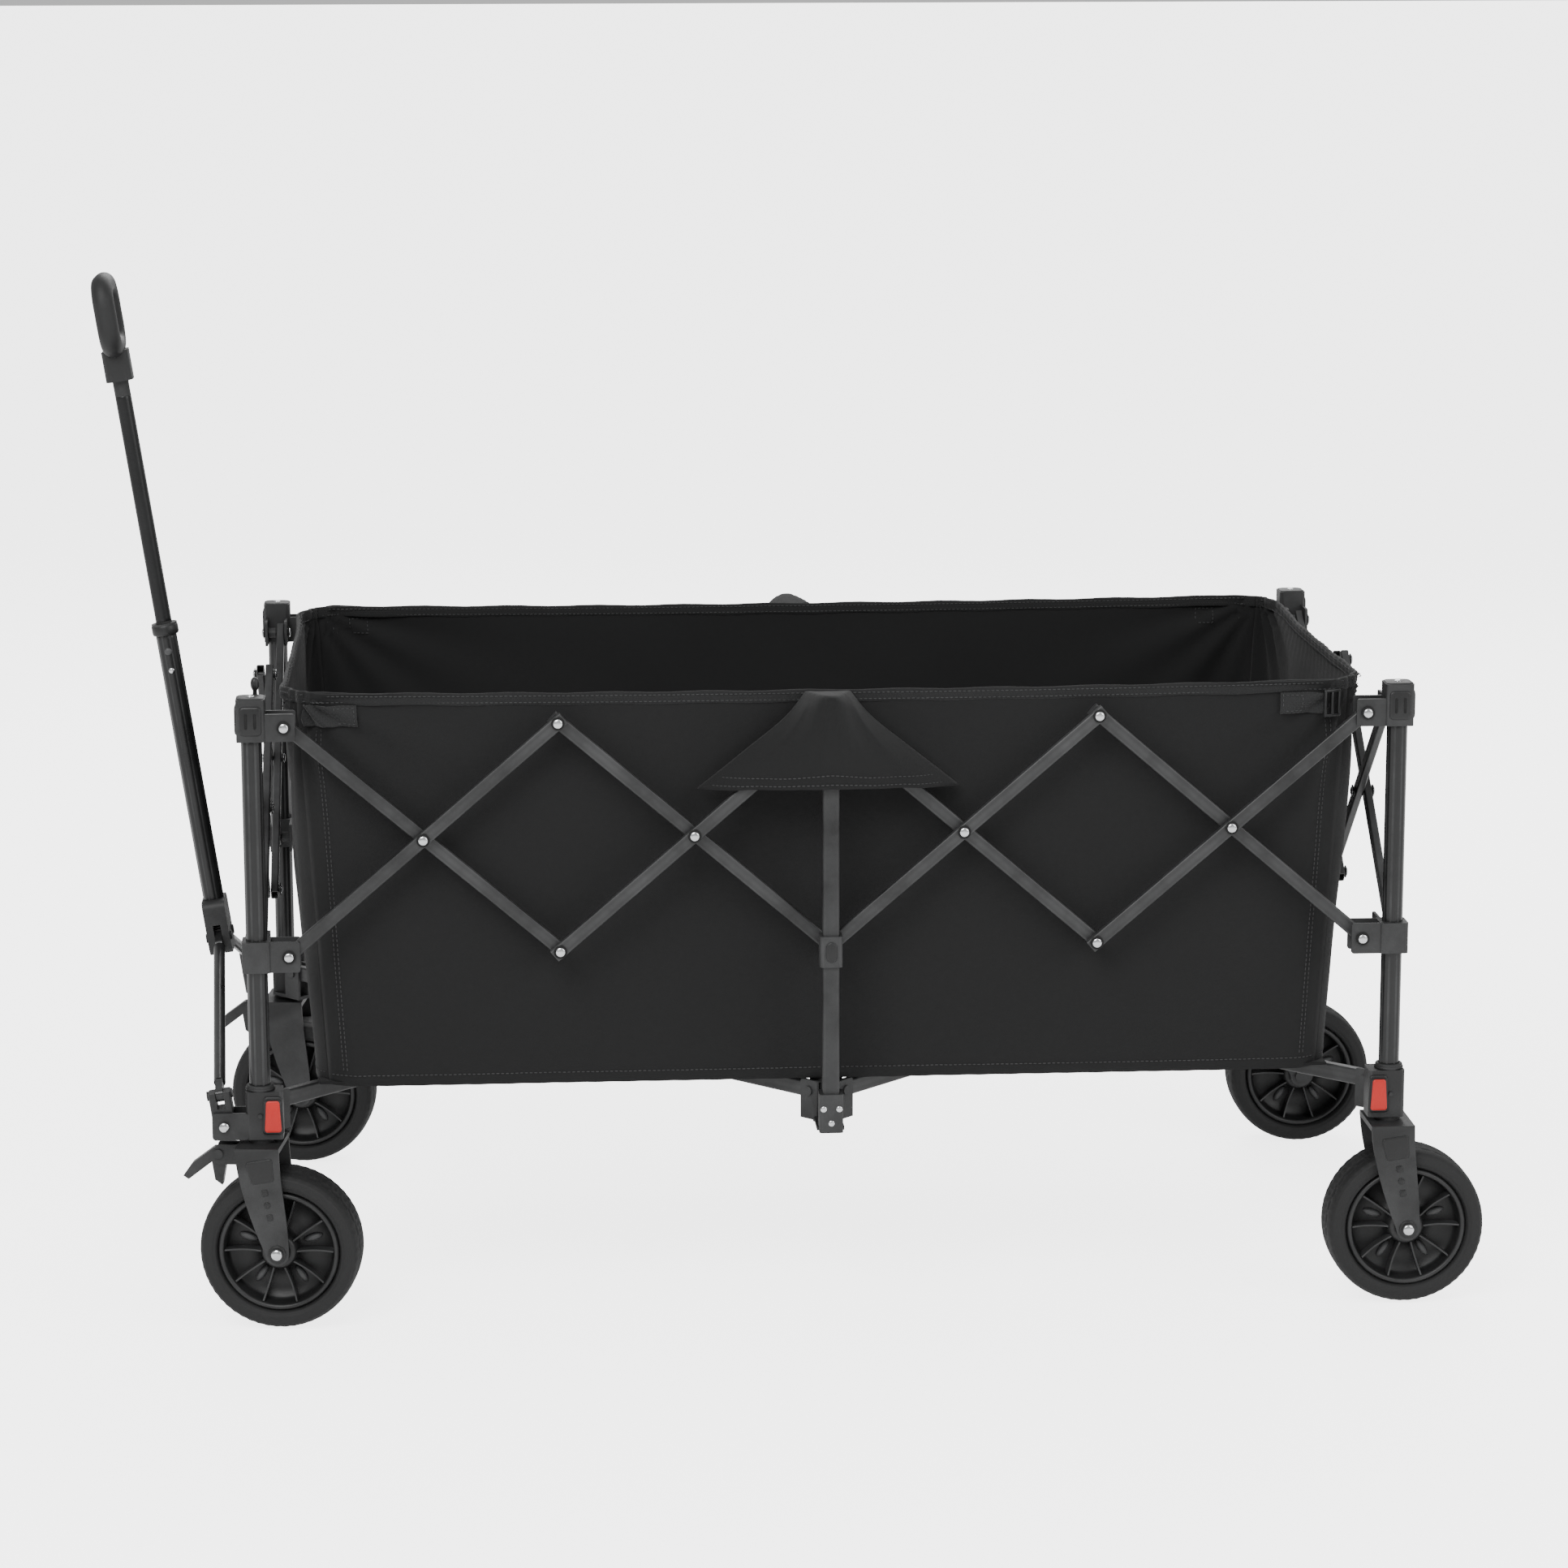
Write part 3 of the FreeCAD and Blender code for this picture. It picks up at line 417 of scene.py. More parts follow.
BAG_CLOTH = cloth_finish("bag_cloth", grey(0.0075), grey(0.0125), 1300.0, 0.5, 0.05)
FLOOR_CLOTH = cloth_finish("padded_floor_cloth", grey(0.0065), grey(0.012), 1000.0, 0.5, 0.04)
BINDING_TAPE = cloth_finish("binding_tape", grey(0.011), grey(0.018), 700.0, 0.8, 0.08)
STRAP_WEBBING = cloth_finish("strap_webbing", grey(0.014), grey(0.022), 420.0, 1.0, 0.10)
THREAD = hard_finish("sewing_thread", grey(0.028), grey(0.042), grey(0.05), (0.6, 0.8), 1800.0, 0.3)
POWDER_COAT = hard_finish("powder_coated_bar", grey(0.010), grey(0.015), grey(0.05), (0.36, 0.50),
                          1400.0, 0.25, coat=0.1)
POST_TUBE = hard_finish("black_drawn_tube", grey(0.014), grey(0.021), grey(0.06), (0.26, 0.38), 700.0, 0.10,
                        metallic=0.35, coat=0.15)
FITTING_PLASTIC = hard_finish("grained_black_plastic", grey(0.012), grey(0.018), grey(0.05),
                              (0.45, 0.62), 1500.0, 0.5)
PANEL_PLASTIC = hard_finish("smooth_black_plastic", grey(0.010), grey(0.015), grey(0.045),
                            (0.32, 0.45), 1200.0, 0.25)
# Slate grey plastic for the spring button; on the wheel petals this lighter grey is a painted highlight on the
# lens-shaped bosses.
GREY_PLASTIC_AND_PETAL_HIGHLIGHT = hard_finish("slate_grey_plastic", grey(0.05), grey(0.075), grey(0.13), (0.40, 0.55),
                           1400.0, 0.4)
# Near-black for the rivet washers; on the clip slots it is painted shade, a dark patch where the slot opening
# holds only shade.
SLOT_SHADE_AND_WASHER_BLACK = hard_finish("slot_black", grey(0.003), grey(0.005), grey(0.01), (0.7, 0.85), 900.0, 0.3)
RED_BUTTON = hard_finish("red_button", (0.42, 0.012, 0.010), (0.50, 0.022, 0.016), (0.62, 0.10, 0.08),
                         (0.34, 0.46), 1300.0, 0.3)
CHROME = hard_finish("bright_rivet", grey(0.55), grey(0.72), grey(0.85), (0.12, 0.28), 600.0, 0.15,
                     metallic=1.0)
TYRE_RUBBER = hard_finish("tyre_rubber", grey(0.009), grey(0.016), grey(0.035), (0.60, 0.80), 1100.0, 0.6)
RIM_PLASTIC = hard_finish("rim_plastic", grey(0.009), grey(0.014), grey(0.05), (0.34, 0.48), 1300.0, 0.3)
SOFT_GRIP = hard_finish("soft_grip", grey(0.011), grey(0.016), grey(0.03), (0.45, 0.62), 1700.0, 0.5)
INNER_TUBE = hard_finish("black_anodised_tube", grey(0.018), grey(0.027), grey(0.08), (0.24, 0.36),
                         500.0, 0.10, metallic=0.6)
print("finishes", len(bpy.data.materials))

# %% [markdown]
# ## Surfaces of the frame's own parts
# The bars, arms, feet, forks and sliders keep their shapes. Each gets the finish of the real part: satin
# powder coat on what is steel, grained nylon on what is moulded, and a softer rubber on the grip.

# %% Finishing the carried-over parts


def finish_for(node):
    """The finish of one frame part, by the kind of part its name says."""
    kinds = [("_bar_", POWDER_COAT), ("_arm", POWDER_COAT), ("_hub", FITTING_PLASTIC),
             ("_slider", FITTING_PLASTIC),
             ("_fork", FITTING_PLASTIC), ("_pedal", PANEL_PLASTIC), ("_block", FITTING_PLASTIC),
             ("_rod", POST_TUBE), ("outer_tube", FITTING_PLASTIC), ("inner_tube", SOFT_GRIP),
             ("_wheel", TYRE_RUBBER), ("_post", FITTING_PLASTIC)]
    found = [finish for part, finish in kinds if part in node]
    return found[0] if found else BAG_CLOTH


for node, thing in frame["nodes"].items():
    thing.data.materials.clear()
    thing.data.materials.append(finish_for(node))
    for other in range(1, len(thing.material_slots)):
        thing.material_slots[other].material = finish_for(node)
print("frame parts finished", len(frame["nodes"]))

# %% [markdown]
# ## Rivets
# Every scissor joint is a bright domed rivet on a dark washer. The frame's joints say exactly where they
# are, so one loop puts a pair of heads at each: one on each outer face of the bars or plates it holds.
# Where two units meet, the frame has no joint, so those rivets stand halfway between two crossings.

# %% Rivet heads at every scissor joint
RIVET_RADIUS = 0.0052
WASHER_RADIUS = 0.0072
CROSSING_FACE = 0.0117
CLEVIS_FACE = 0.0152


def rivet(centre, out):
    """A low dome on a thin washer, both stacked discs."""
    washer = plate(disc_outline(WASHER_RADIUS), soft_layers(0.0009, -0.0006), centre, out)
    head = plate(disc_outline(RIVET_RADIUS), dome_layers(0.0022), centre, out)
    return washer, head


def rivet_heads(name, spot, way, reach, body):
    """Both heads of one rivet, at reach metres to each side of its spot."""
    heads = [rivet(spot + way * reach * side, way * side) for side in (-1, 1)]
    add_piece(f"washers_{name}", *join([washer for washer, _ in heads]), SLOT_SHADE_AND_WASHER_BLACK, body, "frame_steel")
    add_piece(f"heads_{name}", *join([head for _, head in heads]), CHROME, body, "frame_steel")


def open_rivets(face, first, second):
    """The upper and lower rivets between two units of one face, each on the end of one bar."""
    crossings = [f"{face}_bar_{number}_crossing" for number in (first, second)]
    middle = (pivot(crossings[0]) + pivot(crossings[1])) / 2
    top_level = pivot(f"{face}_bar_1_top_pivot")[2]
    low_level = pivot("front_near_slider_pivot")[2]
    for level, layer in ((top_level, "low"), (low_level, "top")):
        spot = np.array([middle[0], middle[1], level])
        rivet_heads(f"{face}_{first}_{layer}", spot, axis_of(crossings[0]), CROSSING_FACE,
                    f"{face}_bar_{first}_{layer}")


scissor_joints = [name for name in JOINTS if name.endswith(("_top_pivot", "_crossing", "slider_pivot"))]
for name in scissor_joints:
    reach = CROSSING_FACE if name.endswith("_crossing") else CLEVIS_FACE
    rivet_heads(name, pivot(name), axis_of(name), reach, JOINTS[name]["child"])
BETWEEN_UNITS = (("near", 1, 2), ("near", 3, 4), ("far", 1, 2), ("far", 3, 4), ("front", 1, 2), ("rear", 1, 2))
for face, first, second in BETWEEN_UNITS:
    open_rivets(face, first, second)
print("riveted joints", len(scissor_joints))

# %% [markdown]
# ## Posts
# The six posts are drawn tubes with shallow flutes, which split the highlight in two. On the four corner
# posts a thin fluted skin over the plain tube shows this, and stops short of the plastic at each end.

# %% Fluted skins on the posts
CORNERS = {"front_near": -1, "front_far": 1, "rear_near": -1, "rear_far": 1}
POST_RADIUS = 0.01112
FOOT_TOP = 0.269
FITTING_BOTTOM = 0.6485


def corner_axis(corner):
    """Where a corner post stands: the x of its end's crossings and the y of its side's."""
    end, side = corner.split("_")
    return np.array([pivot(f"{end}_bar_1_crossing")[0], pivot(f"{side}_bar_1_crossing")[1], 0.0])


def fluted(angle, share):
    """Sixteen shallow flutes, the same along the whole profile."""
    return 0.00022 * np.cos(8 * angle) * np.ones_like(share)


def tube_skin(name, low, high, radius, body, material, slot, wave=fluted):
    """A closed thin sleeve between two points: an outer and an inner wall with rounded lips."""
    low, high = np.asarray(low, float), np.asarray(high, float)
    length = np.linalg.norm(high - low)
    heights = np.concatenate([[0, 0.001], np.linspace(0.004, length - 0.004, 10), [length - 0.001, length]])
    outer = [(radius - (0.0003 if height in (0, length) else 0), height) for height in heights]
    inner = [(radius - 0.0009, length), (radius - 0.0009, 0)]
    points, faces = turned(outer + inner, low, high - low, 96, wave)
    return add_piece(name, points, faces, material, body, slot)


for corner in CORNERS:
    stand = corner_axis(corner)
    tube_skin(f"tube_skin_{corner}", stand + (0, 0, FOOT_TOP), stand + (0, 0, FITTING_BOTTOM), POST_RADIUS,
              f"{corner}_post", POST_TUBE, "frame_steel")
print("posts stand at", [corner_axis(corner).round(3).tolist() for corner in CORNERS])

# %% [markdown]
# ## Top fittings
# Each corner post ends in a moulded block with a raised clip panel, two vertical slots in it and a lug on
# top. The one at the near handle end also has a rounded toggle pin, which holds a loop of the tub.

# %% Clip panels, slots, caps and toggles
FITTING_MIDDLE = 0.672
FITTING_OUT = 0.0155
FITTING_TOP = 0.695
OUTWARD = {"near": np.array([0.0, -1.0, 0.0]), "far": np.array([0.0, 1.0, 0.0]),
           "front": np.array([-1.0, 0.0, 0.0]), "rear": np.array([1.0, 0.0, 0.0])}


def clip_panel(corner, face):
    """A raised panel and two slots on one outer face of a corner block."""
    out = OUTWARD[face]
    _, across, _ = frame_of(out)
    middle = corner_axis(corner) + (0, 0, FITTING_MIDDLE) + out * FITTING_OUT
    panel = plate(tapered_outline(0.0235, 0.0235, 0.031, 0.0045), soft_layers(0.0028, -0.001), middle, out)
    # Painted shade: the slots are near-black patches laid just over the panel's face, standing for the shade
    # inside the slot openings.
    slots = [plate(tapered_outline(0.0030, 0.0030, 0.017, 0.0014), [(0.0012, 1), (0.0020, 1)],
                   middle + across * shift, out) for shift in (-0.0048, 0.0048)]
    add_piece(f"clip_panel_{corner}_{face}", *panel, PANEL_PLASTIC, f"{corner}_post", "frame_plastic")
    add_piece(f"clip_slots_{corner}_{face}", *join(slots), SLOT_SHADE_AND_WASHER_BLACK, f"{corner}_post", "frame_plastic")


def fitting_cap(corner):
    """A shallow cap on the block, with a domed screw at its top."""
    top = corner_axis(corner) + (0, 0, FITTING_TOP)
    cap = plate(tapered_outline(0.029, 0.029, 0.029, 0.006), soft_layers(0.0022, -0.0008), top,
                (0, 0, 1), (0, 1, 0))
    add_piece(f"post_cap_{corner}", *cap, FITTING_PLASTIC, f"{corner}_post", "frame_plastic")
    screw = plate(disc_outline(0.0042), dome_layers(0.0016, 0.0012), top, (0, 0, 1), (0, 1, 0))
    add_piece(f"post_cap_screw_{corner}", *screw, CHROME, f"{corner}_post", "frame_plastic")


def toggle(corner):
    """A rounded pin on a slim tapered stem, turned about an upright axis, just inside the post."""
    end, side = corner.split("_")
    inside = -OUTWARD[end] * 0.004 - OUTWARD[side] * 0.021
    foot = corner_axis(corner) + inside + (0, 0, 0.690)
    profile = [(0.0, 0.0), (0.0042, 0.0), (0.0036, 0.005), (0.0030, 0.011), (0.0044, 0.0135),
               (0.0060, 0.017), (0.0062, 0.022), (0.0052, 0.0265), (0.0028, 0.029), (0.0, 0.0297)]
    profile = [(max(0.75 * radius, 0.00005), 0.8 * height) for radius, height in profile]
    add_piece(f"toggle_{corner}", *turned(profile, foot, (0, 0, 1), 24), PANEL_PLASTIC, f"{corner}_post",
              "frame_plastic")


for corner in CORNERS:
    for face in corner.split("_"):
        clip_panel(corner, face)
    fitting_cap(corner)
toggle("front_near")
print("top fittings dressed")

# %% [markdown]
# ## Feet
# A foot carries a ribbed collar, a red release button in a black surround and the bolts of the arm
# bracket. The button is a trapezoid, wider at its lower end, so a thumb finds it from above.

# %% Red buttons, surrounds and bolts
BUTTON_MIDDLE = 0.238
BUTTON_INWARD = 0.014
BUTTON_OUT = 0.0206


def foot_dressing(corner):
    """A surround and a red button on the side face, and a collar ring round the post."""
    end, side = corner.split("_")
    out, inward = OUTWARD[side], -OUTWARD[end]
    stand = corner_axis(corner)
    face = stand + inward * BUTTON_INWARD + (0, 0, BUTTON_MIDDLE) + out * BUTTON_OUT
    body = f"{corner}_post"
    surround = plate(tapered_outline(0.023, 0.020, 0.042, 0.004), soft_layers(0.0022, -0.0050), face, out)
    button = plate(tapered_outline(0.0180, 0.0145, 0.0350, 0.003), soft_layers(0.0022, -0.0008), face, out)
    add_piece(f"button_surround_{corner}", *surround, PANEL_PLASTIC, body, "frame_plastic")
    add_piece(f"red_button_{corner}", *button, RED_BUTTON, body, "frame_plastic")
    ribs = [(0.0148, -0.0010), (0.0158, 0.0), (0.0158, 0.0018), (0.0148, 0.0026), (0.0150, 0.0040),
            (0.0142, 0.0052), (0.0114, 0.0056), (0.0114, -0.0010)]
    collar = turned(ribs, stand + (0, 0, 0.2645), (0, 0, 1), 64)
    add_piece(f"collar_{corner}", *collar, FITTING_PLASTIC, body, "frame_plastic")


def screw(name, spot, out, radius, body, height=0.0020):
    """A bright low-domed screw head."""
    head = plate(disc_outline(radius), dome_layers(height, -0.0004), spot, out)
    add_piece(name, *head, CHROME, body, "frame_steel")


def middle_dressing(face):
    """Three rivets on a middle foot, and an oval raised button on the middle slider."""
    low, high = box(f"{face}_middle_post")
    out = OUTWARD[face]
    side = low[1] if face == "near" else high[1]
    centre = pivot(f"{face}_middle_slider_pivot")
    for name, shift, level in (("left", -0.0085, 0.238), ("right", 0.0085, 0.238), ("low", 0.0, 0.222)):
        screw(f"{face}_foot_rivet_{name}", np.array([centre[0] + shift, side, level]), out, 0.0036,
              f"{face}_middle_post")
    low, high = box(f"{face}_middle_slider")
    side = low[1] if face == "near" else high[1]
    oval = plate(tapered_outline(0.012, 0.012, 0.022, 0.0058), soft_layers(0.0022, -0.0004),
                 np.array([centre[0], side, centre[2]]), out)
    add_piece(f"{face}_slider_button", *oval, PANEL_PLASTIC, f"{face}_middle_slider", "frame_plastic")


for corner in CORNERS:
    foot_dressing(corner)
for face in ("near", "far"):
    middle_dressing(face)
screw("handle_pitch_bolt", pivot("handle_pitch") * (1, 0, 1) + (0, box("handle_near_block")[0][1], 0),
      OUTWARD["near"], 0.0056, "handle_near_block", 0.0030)

# %% [markdown]
# ## Wheels
# A wheel is a tyre with a zigzag tread and scalloped shoulders, on a deep moulded rim with ten thin fins.
# The tyre is one closed grid: angle round the axle by place on a rounded section. Its tread is a change
# of radius that depends on both, which is why the two-parameter form suits it.

# %% The tyre's surface
WHEEL_RADIUS = 0.0878
RIM_RADIUS = 0.0650
HALF_WIDTH = 0.0288


def pulse(value, width):
    """One where value is within width of zero, with soft flanks, and nought elsewhere."""
    return 1 / (1 + (np.abs(value) / width) ** 6)


def zigzag(value):
    """A triangle wave between -1 and 1."""
    return 2 * np.abs(2 * (value % 1) - 1) - 1


def tyre_grid(steps=300, section=60):
    """Radius and place along the axle, for each angle and section place: a squared oval with its tread."""
    angle = np.linspace(0, TAU, steps, endpoint=False)[:, None]
    place = np.linspace(0, TAU, section, endpoint=False)[None, :]
    middle, reach = (WHEEL_RADIUS + RIM_RADIUS) / 2, (WHEEL_RADIUS - RIM_RADIUS) / 2
    cosine, sine = np.cos(place), np.sin(place)
    along = HALF_WIDTH * np.sign(cosine) * np.abs(cosine) ** 0.62 + 0 * angle
    radius = middle + reach * np.sign(sine) * np.abs(sine) ** 0.62 + 0 * angle
    on_tread = np.clip((sine - 0.75) / 0.2, 0, 1)
    turns = angle / TAU
    grooves = sum(pulse(along - shift * HALF_WIDTH - 0.0016 * zigzag(turns * 36), 0.0012)
                  for shift in (-0.46, 0.0, 0.46))
    shoulder = np.clip((np.abs(along) / HALF_WIDTH - 0.62) / 0.2, 0, 1)
    bars = pulse(zigzag(turns * 54), 0.42) * shoulder
    radius = radius - on_tread * (0.0018 * np.clip(grooves, 0, 1) + 0.0014 * bars)
    on_side = np.clip((0.72 - np.abs(sine)) / 0.2, 0, 1)
    rings = 0.0004 * np.cos((radius - RIM_RADIUS) / 0.0042 * TAU) * on_side
    scallops = 0.0007 * np.cos(54 * angle) * np.exp(-(((sine - 0.72) / 0.14) ** 2))
    along = along + np.sign(cosine) * (rings + scallops)
    return angle, radius, along


def set_round(angle, radius, along, centre, axis):
    """Points from an angle, a radius and a place along the axle."""
    way, across, rise = frame_of(axis)
    return (np.asarray(centre) + way * along[..., None] + across * (radius * np.cos(angle))[..., None]
            + rise * (radius * np.sin(angle))[..., None])


# %% The rim, its fins and its hub
RIM_FINS = 10


def rim_profile():
    """A closed section: bead, lip, deep dish and hub on each side."""
    side = [(0.0662, 0.0235), (0.0640, 0.0262), (0.0612, 0.0255), (0.0600, 0.0215), (0.0588, 0.0120),
            (0.0560, 0.0070), (0.0400, 0.0052), (0.0240, 0.0060), (0.0205, 0.0150), (0.0190, 0.0235),
            (0.0165, 0.0262), (0.0095, 0.0270), (0.0090, 0.0235)]
    return side + [(radius, -along) for radius, along in reversed(side)]


def rim_fin(centre, axis, angle, side):
    """A thin rib that stands in the dish from the hub to the lip, with its outer edge dipping."""
    way, across, rise = frame_of(axis)
    radial = across * math.cos(angle) + rise * math.sin(angle)
    tangent = np.cross(way, radial)
    run = np.linspace(0.0195, 0.0596, 9)
    share = (run - run[0]) / (run[-1] - run[0])
    crest = 0.0232 - 0.0052 * np.sin(np.pi * share)
    half = 0.0009
    ring = []
    for along, wide in ((0.0040, half), (1.0, half), (1.0, -half), (0.0040, -half)):
        level = np.full_like(run, along) if along < 1 else crest
        ring.append(centre + radial * run[:, None] + way * side * level[:, None] + tangent * wide)
    points = np.stack(ring, axis=1)
    rows = len(run)
    faces = grid_faces(rows, 4, False, True).tolist()
    faces += [[0, 1, 2, 3], [4 * rows - 4, 4 * rows - 3, 4 * rows - 2, 4 * rows - 1]]
    return points, faces


def petal(centre, axis, angle, side):
    """A lens-shaped boss on the dish between two fins: an ellipse stacked into a low dome."""
    way, across, rise = frame_of(axis)
    radial = across * math.cos(angle) + rise * math.sin(angle)
    outline = disc_outline(1.0, 20) * (0.0042, 0.0105)
    middle = centre + radial * 0.0370 + way * side * 0.0050
    return plate(outline, dome_layers(0.0050), middle, way * side, radial)


def wheel(corner):
    """Tyre, rim, fins, petals and hub caps about one axle."""
    joint = f"{corner}_wheel_spin"
    centre, axis, body = pivot(joint), axis_of(joint), f"{corner}_wheel"
    angle, radius, along = tyre_grid()
    tyre = add_piece(f"tyre_{corner}", set_round(angle, radius, along, centre, axis),
                     grid_faces(*radius.shape, True, True), TYRE_RUBBER, body, "wheel_rubber")
    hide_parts(body)
    add_piece(f"rim_{corner}", *turned(rim_profile(), centre, axis, 96), RIM_PLASTIC, body, "frame_plastic")
    angles = np.arange(RIM_FINS) * TAU / RIM_FINS
    fins = [rim_fin(centre, axis, turn, side) for side in (-1, 1) for turn in angles]
    add_piece(f"rim_fins_{corner}", *join(fins), RIM_PLASTIC, body, "frame_plastic", smooth=False)
    between = angles[::2] + TAU / RIM_FINS / 2
    petals = [petal(centre, axis, turn, side) for side in (-1, 1) for turn in between]
    # Painted highlight: the petals take a grey far lighter than the rim, standing for the light that the
    # lens-shaped bosses catch.
    add_piece(f"rim_petals_{corner}", *join(petals), GREY_PLASTIC_AND_PETAL_HIGHLIGHT, body, "frame_plastic")
    return tyre


for corner in CORNERS:
    tyre = wheel(corner)
print("wheel triangles in one tyre", 2 * len(tyre.data.polygons))

# %% [markdown]
# ## Fork details
# The outer plate of each fork has a raised rectangle at the top, a small square, a small round and
# another square down its middle, and a bright dome over the axle.

# %% Raised marks on the forks
PLATE_FACE = 0.0357
FORK_HEIGHT = 0.118


def fork_marks(corner):
    """Raised shapes along the line from the axle to the crown, on the plate that faces outward."""
    joint = f"{corner}_wheel_spin"
    axle, side = pivot(joint), CORNERS[corner]
    body = JOINTS[joint]["parent"]
    out = axis_of(joint) * side
    crown = corner_axis(corner) + (0, 0, axle[2] + FORK_HEIGHT)
    crown = crown - out * np.dot(crown - axle, out)
    rise = (crown - axle) / np.linalg.norm(crown - axle)
    face = axle + out * PLATE_FACE
    square = tapered_outline(0.0065, 0.0065, 0.0065, 0.001)
    marks = [(tapered_outline(0.0250, 0.0290, 0.0250, 0.003), 0.094), (square, 0.070),
             (disc_outline(0.0034), 0.056), (square, 0.042)]
    raised = [plate(outline, soft_layers(0.0013, -0.0003), face + rise * height, out, rise)
              for outline, height in marks]
    add_piece(f"fork_marks_{corner}", *join(raised), PANEL_PLASTIC, body, "frame_plastic")
    ring = plate(disc_outline(0.0098), soft_layers(0.0016, -0.0003), face, out, rise)
    dome = plate(disc_outline(0.0068), dome_layers(0.0042, 0.0010), face, out, rise)
    add_piece(f"axle_ring_{corner}", *ring, PANEL_PLASTIC, body, "frame_plastic")
    add_piece(f"axle_dome_{corner}", *dome, CHROME, body, "frame_steel")


for corner in CORNERS:
    fork_marks(corner)
print("forks dressed")

# %% [markdown]
# ## The sewn tub
# The tub is bag cloth sewn from four walls and a floor and hung from the posts by its corners. Nothing
# fills it, so the walls are pulled into diagonal folds from their upper corners, pucker below the rim
# binding, and billow a few millimetres between the posts. Each wall is a sheet over two lengths: how far
# along the wall and how far up it, with the folds added as a push in or out.

# %% The folds of a hanging wall
SLACK = 0.0062
CLOTH = 0.0016
RIM_DIP = 0.004
WALL_STEPS = (180, 64)
CORNER_RADIUS = 0.055
HALF = ((tub_high[0] - tub_low[0]) / 2 + 0.007, (tub_high[1] - tub_low[1]) / 2 - 0.0095)
FOOT_TAPER = (0.045, 0.020)
WALL_HEIGHT = tub_high[2] - tub_low[2]
LENGTHS = {face: 2 * (half - CORNER_RADIUS) + CORNER_RADIUS * math.pi / 2
           for face, half in (("near", HALF[0]), ("far", HALF[0]), ("front", HALF[1]), ("rear", HALF[1]))}
SEEDS = {"near": 0.6, "far": 2.3, "front": 4.1, "rear": 5.2}
BELLY = {"near": 0.0, "far": 0.0, "front": 0.008, "rear": 0.008}


def hump(value, middle, width):
    """A smooth bump about a place."""
    return np.exp(-(((value - middle) / width) ** 2))


def wall_push(along, up, length, height, seed):
    """How far the cloth stands out from flat: billow, tension folds from both corners, pucker, ripples."""
    share, level = along / length, up / height
    edge = np.sin(np.pi * np.clip(share, 0, 1)) ** 0.5 * np.sin(np.pi * np.clip(level, 0, 1)) ** 0.7
    slanting = 0.6 * np.sin(TAU * (share * 2.7 - level * 0.8) + 2 * seed)
    billow = SLACK * edge * (np.sin(TAU * share * 1.5 + seed) + slanting)
    folds = 0
    for start, way in ((0.0, 1), (length, -1)):
        from_corner = np.hypot((along - start) * way, height - up) + 1e-6
        turn = np.arctan2(height - up, (along - start) * way + 1e-6)
        fading = np.exp(-from_corner / 0.16) * np.clip(from_corner / 0.03, 0, 1)
        folds = folds + np.cos(turn * 15 + seed) * fading
    pucker = np.sin(along / 0.021 * TAU + 1.7 * np.sin(along * 23 + seed)) * np.exp(-(height - up) / 0.022)
    hem = np.sin(along / 0.034 * TAU + seed) * np.exp(-up / 0.02)
    ripples = np.sin(along * 41 + 6 * level + seed) * np.sin(up * 29 + 3 * share + seed) * edge
    return billow + 0.0046 * folds + 0.0008 * pucker + 0.0008 * hem + 0.0012 * ripples


def rim_level(along, length):
    """The height of the rim above its lowest, which lifts towards the two corners it hangs from."""
    share = np.clip(along / length, 0, 1)
    return RIM_DIP * (2 * np.abs(share - 0.5)) ** 2.2


def rim_path(face, along):
    """Places and outward ways along one side of a rounded rectangle, with half a corner at each end."""
    across = face in ("front", "rear")
    half = HALF[1] if across else HALF[0]
    depth = HALF[0] if across else HALF[1]
    straight = 2 * (half - CORNER_RADIUS)
    arc = CORNER_RADIUS * math.pi / 4
    flat = np.clip(along - arc, 0, straight)
    turn = (np.clip(along - arc - straight, 0, None) - np.clip(arc - along, 0, None)) / CORNER_RADIUS
    run = flat - straight / 2 + CORNER_RADIUS * np.sin(turn)
    out = depth - CORNER_RADIUS * (1 - np.cos(turn))
    side = -1 if face in ("near", "front") else 1
    if across:
        return np.stack([side * out, run], axis=-1), np.stack([side * np.cos(turn), np.sin(turn)], axis=-1)
    return np.stack([run, side * out], axis=-1), np.stack([np.sin(turn), side * np.cos(turn)], axis=-1)


def on_wall(face, along, up, lift=0.0):
    """Points on a wall at lengths along and up it, lifted off its middle surface by lift."""
    place, out = rim_path(face, along)
    level = up / WALL_HEIGHT
    shrink = np.stack([1 - FOOT_TAPER[0] * (1 - level), 1 - FOOT_TAPER[1] * (1 - level)], axis=-1)
    push = wall_push(along, up, LENGTHS[face], WALL_HEIGHT, SEEDS[face])
    push = push + BELLY[face] * belly(along, up, face) + lift
    flat = tub_middle[:2] + place * shrink + out * push[..., None]
    return np.concatenate([flat, (tub_low[2] + up)[..., None]], axis=-1)


def belly(along, up, face):
    """A wide bulge, highest in the middle of the wall."""
    across = np.sin(np.pi * np.clip(along / LENGTHS[face], 0, 1))
    return across * np.sin(np.pi * np.clip(up / WALL_HEIGHT, 0, 1))


def wall_grid(face):
    """The grid of a whole wall, and where each of its points lies on the flat cloth."""
    along = np.linspace(0, LENGTHS[face], WALL_STEPS[0])[:, None]
    level = np.linspace(0, 1, WALL_STEPS[1])[None, :]
    up = level * (WALL_HEIGHT - RIM_DIP + rim_level(along, LENGTHS[face]))
    along = along + 0 * up
    return on_wall(face, along, up), np.stack([along, up], axis=-1)


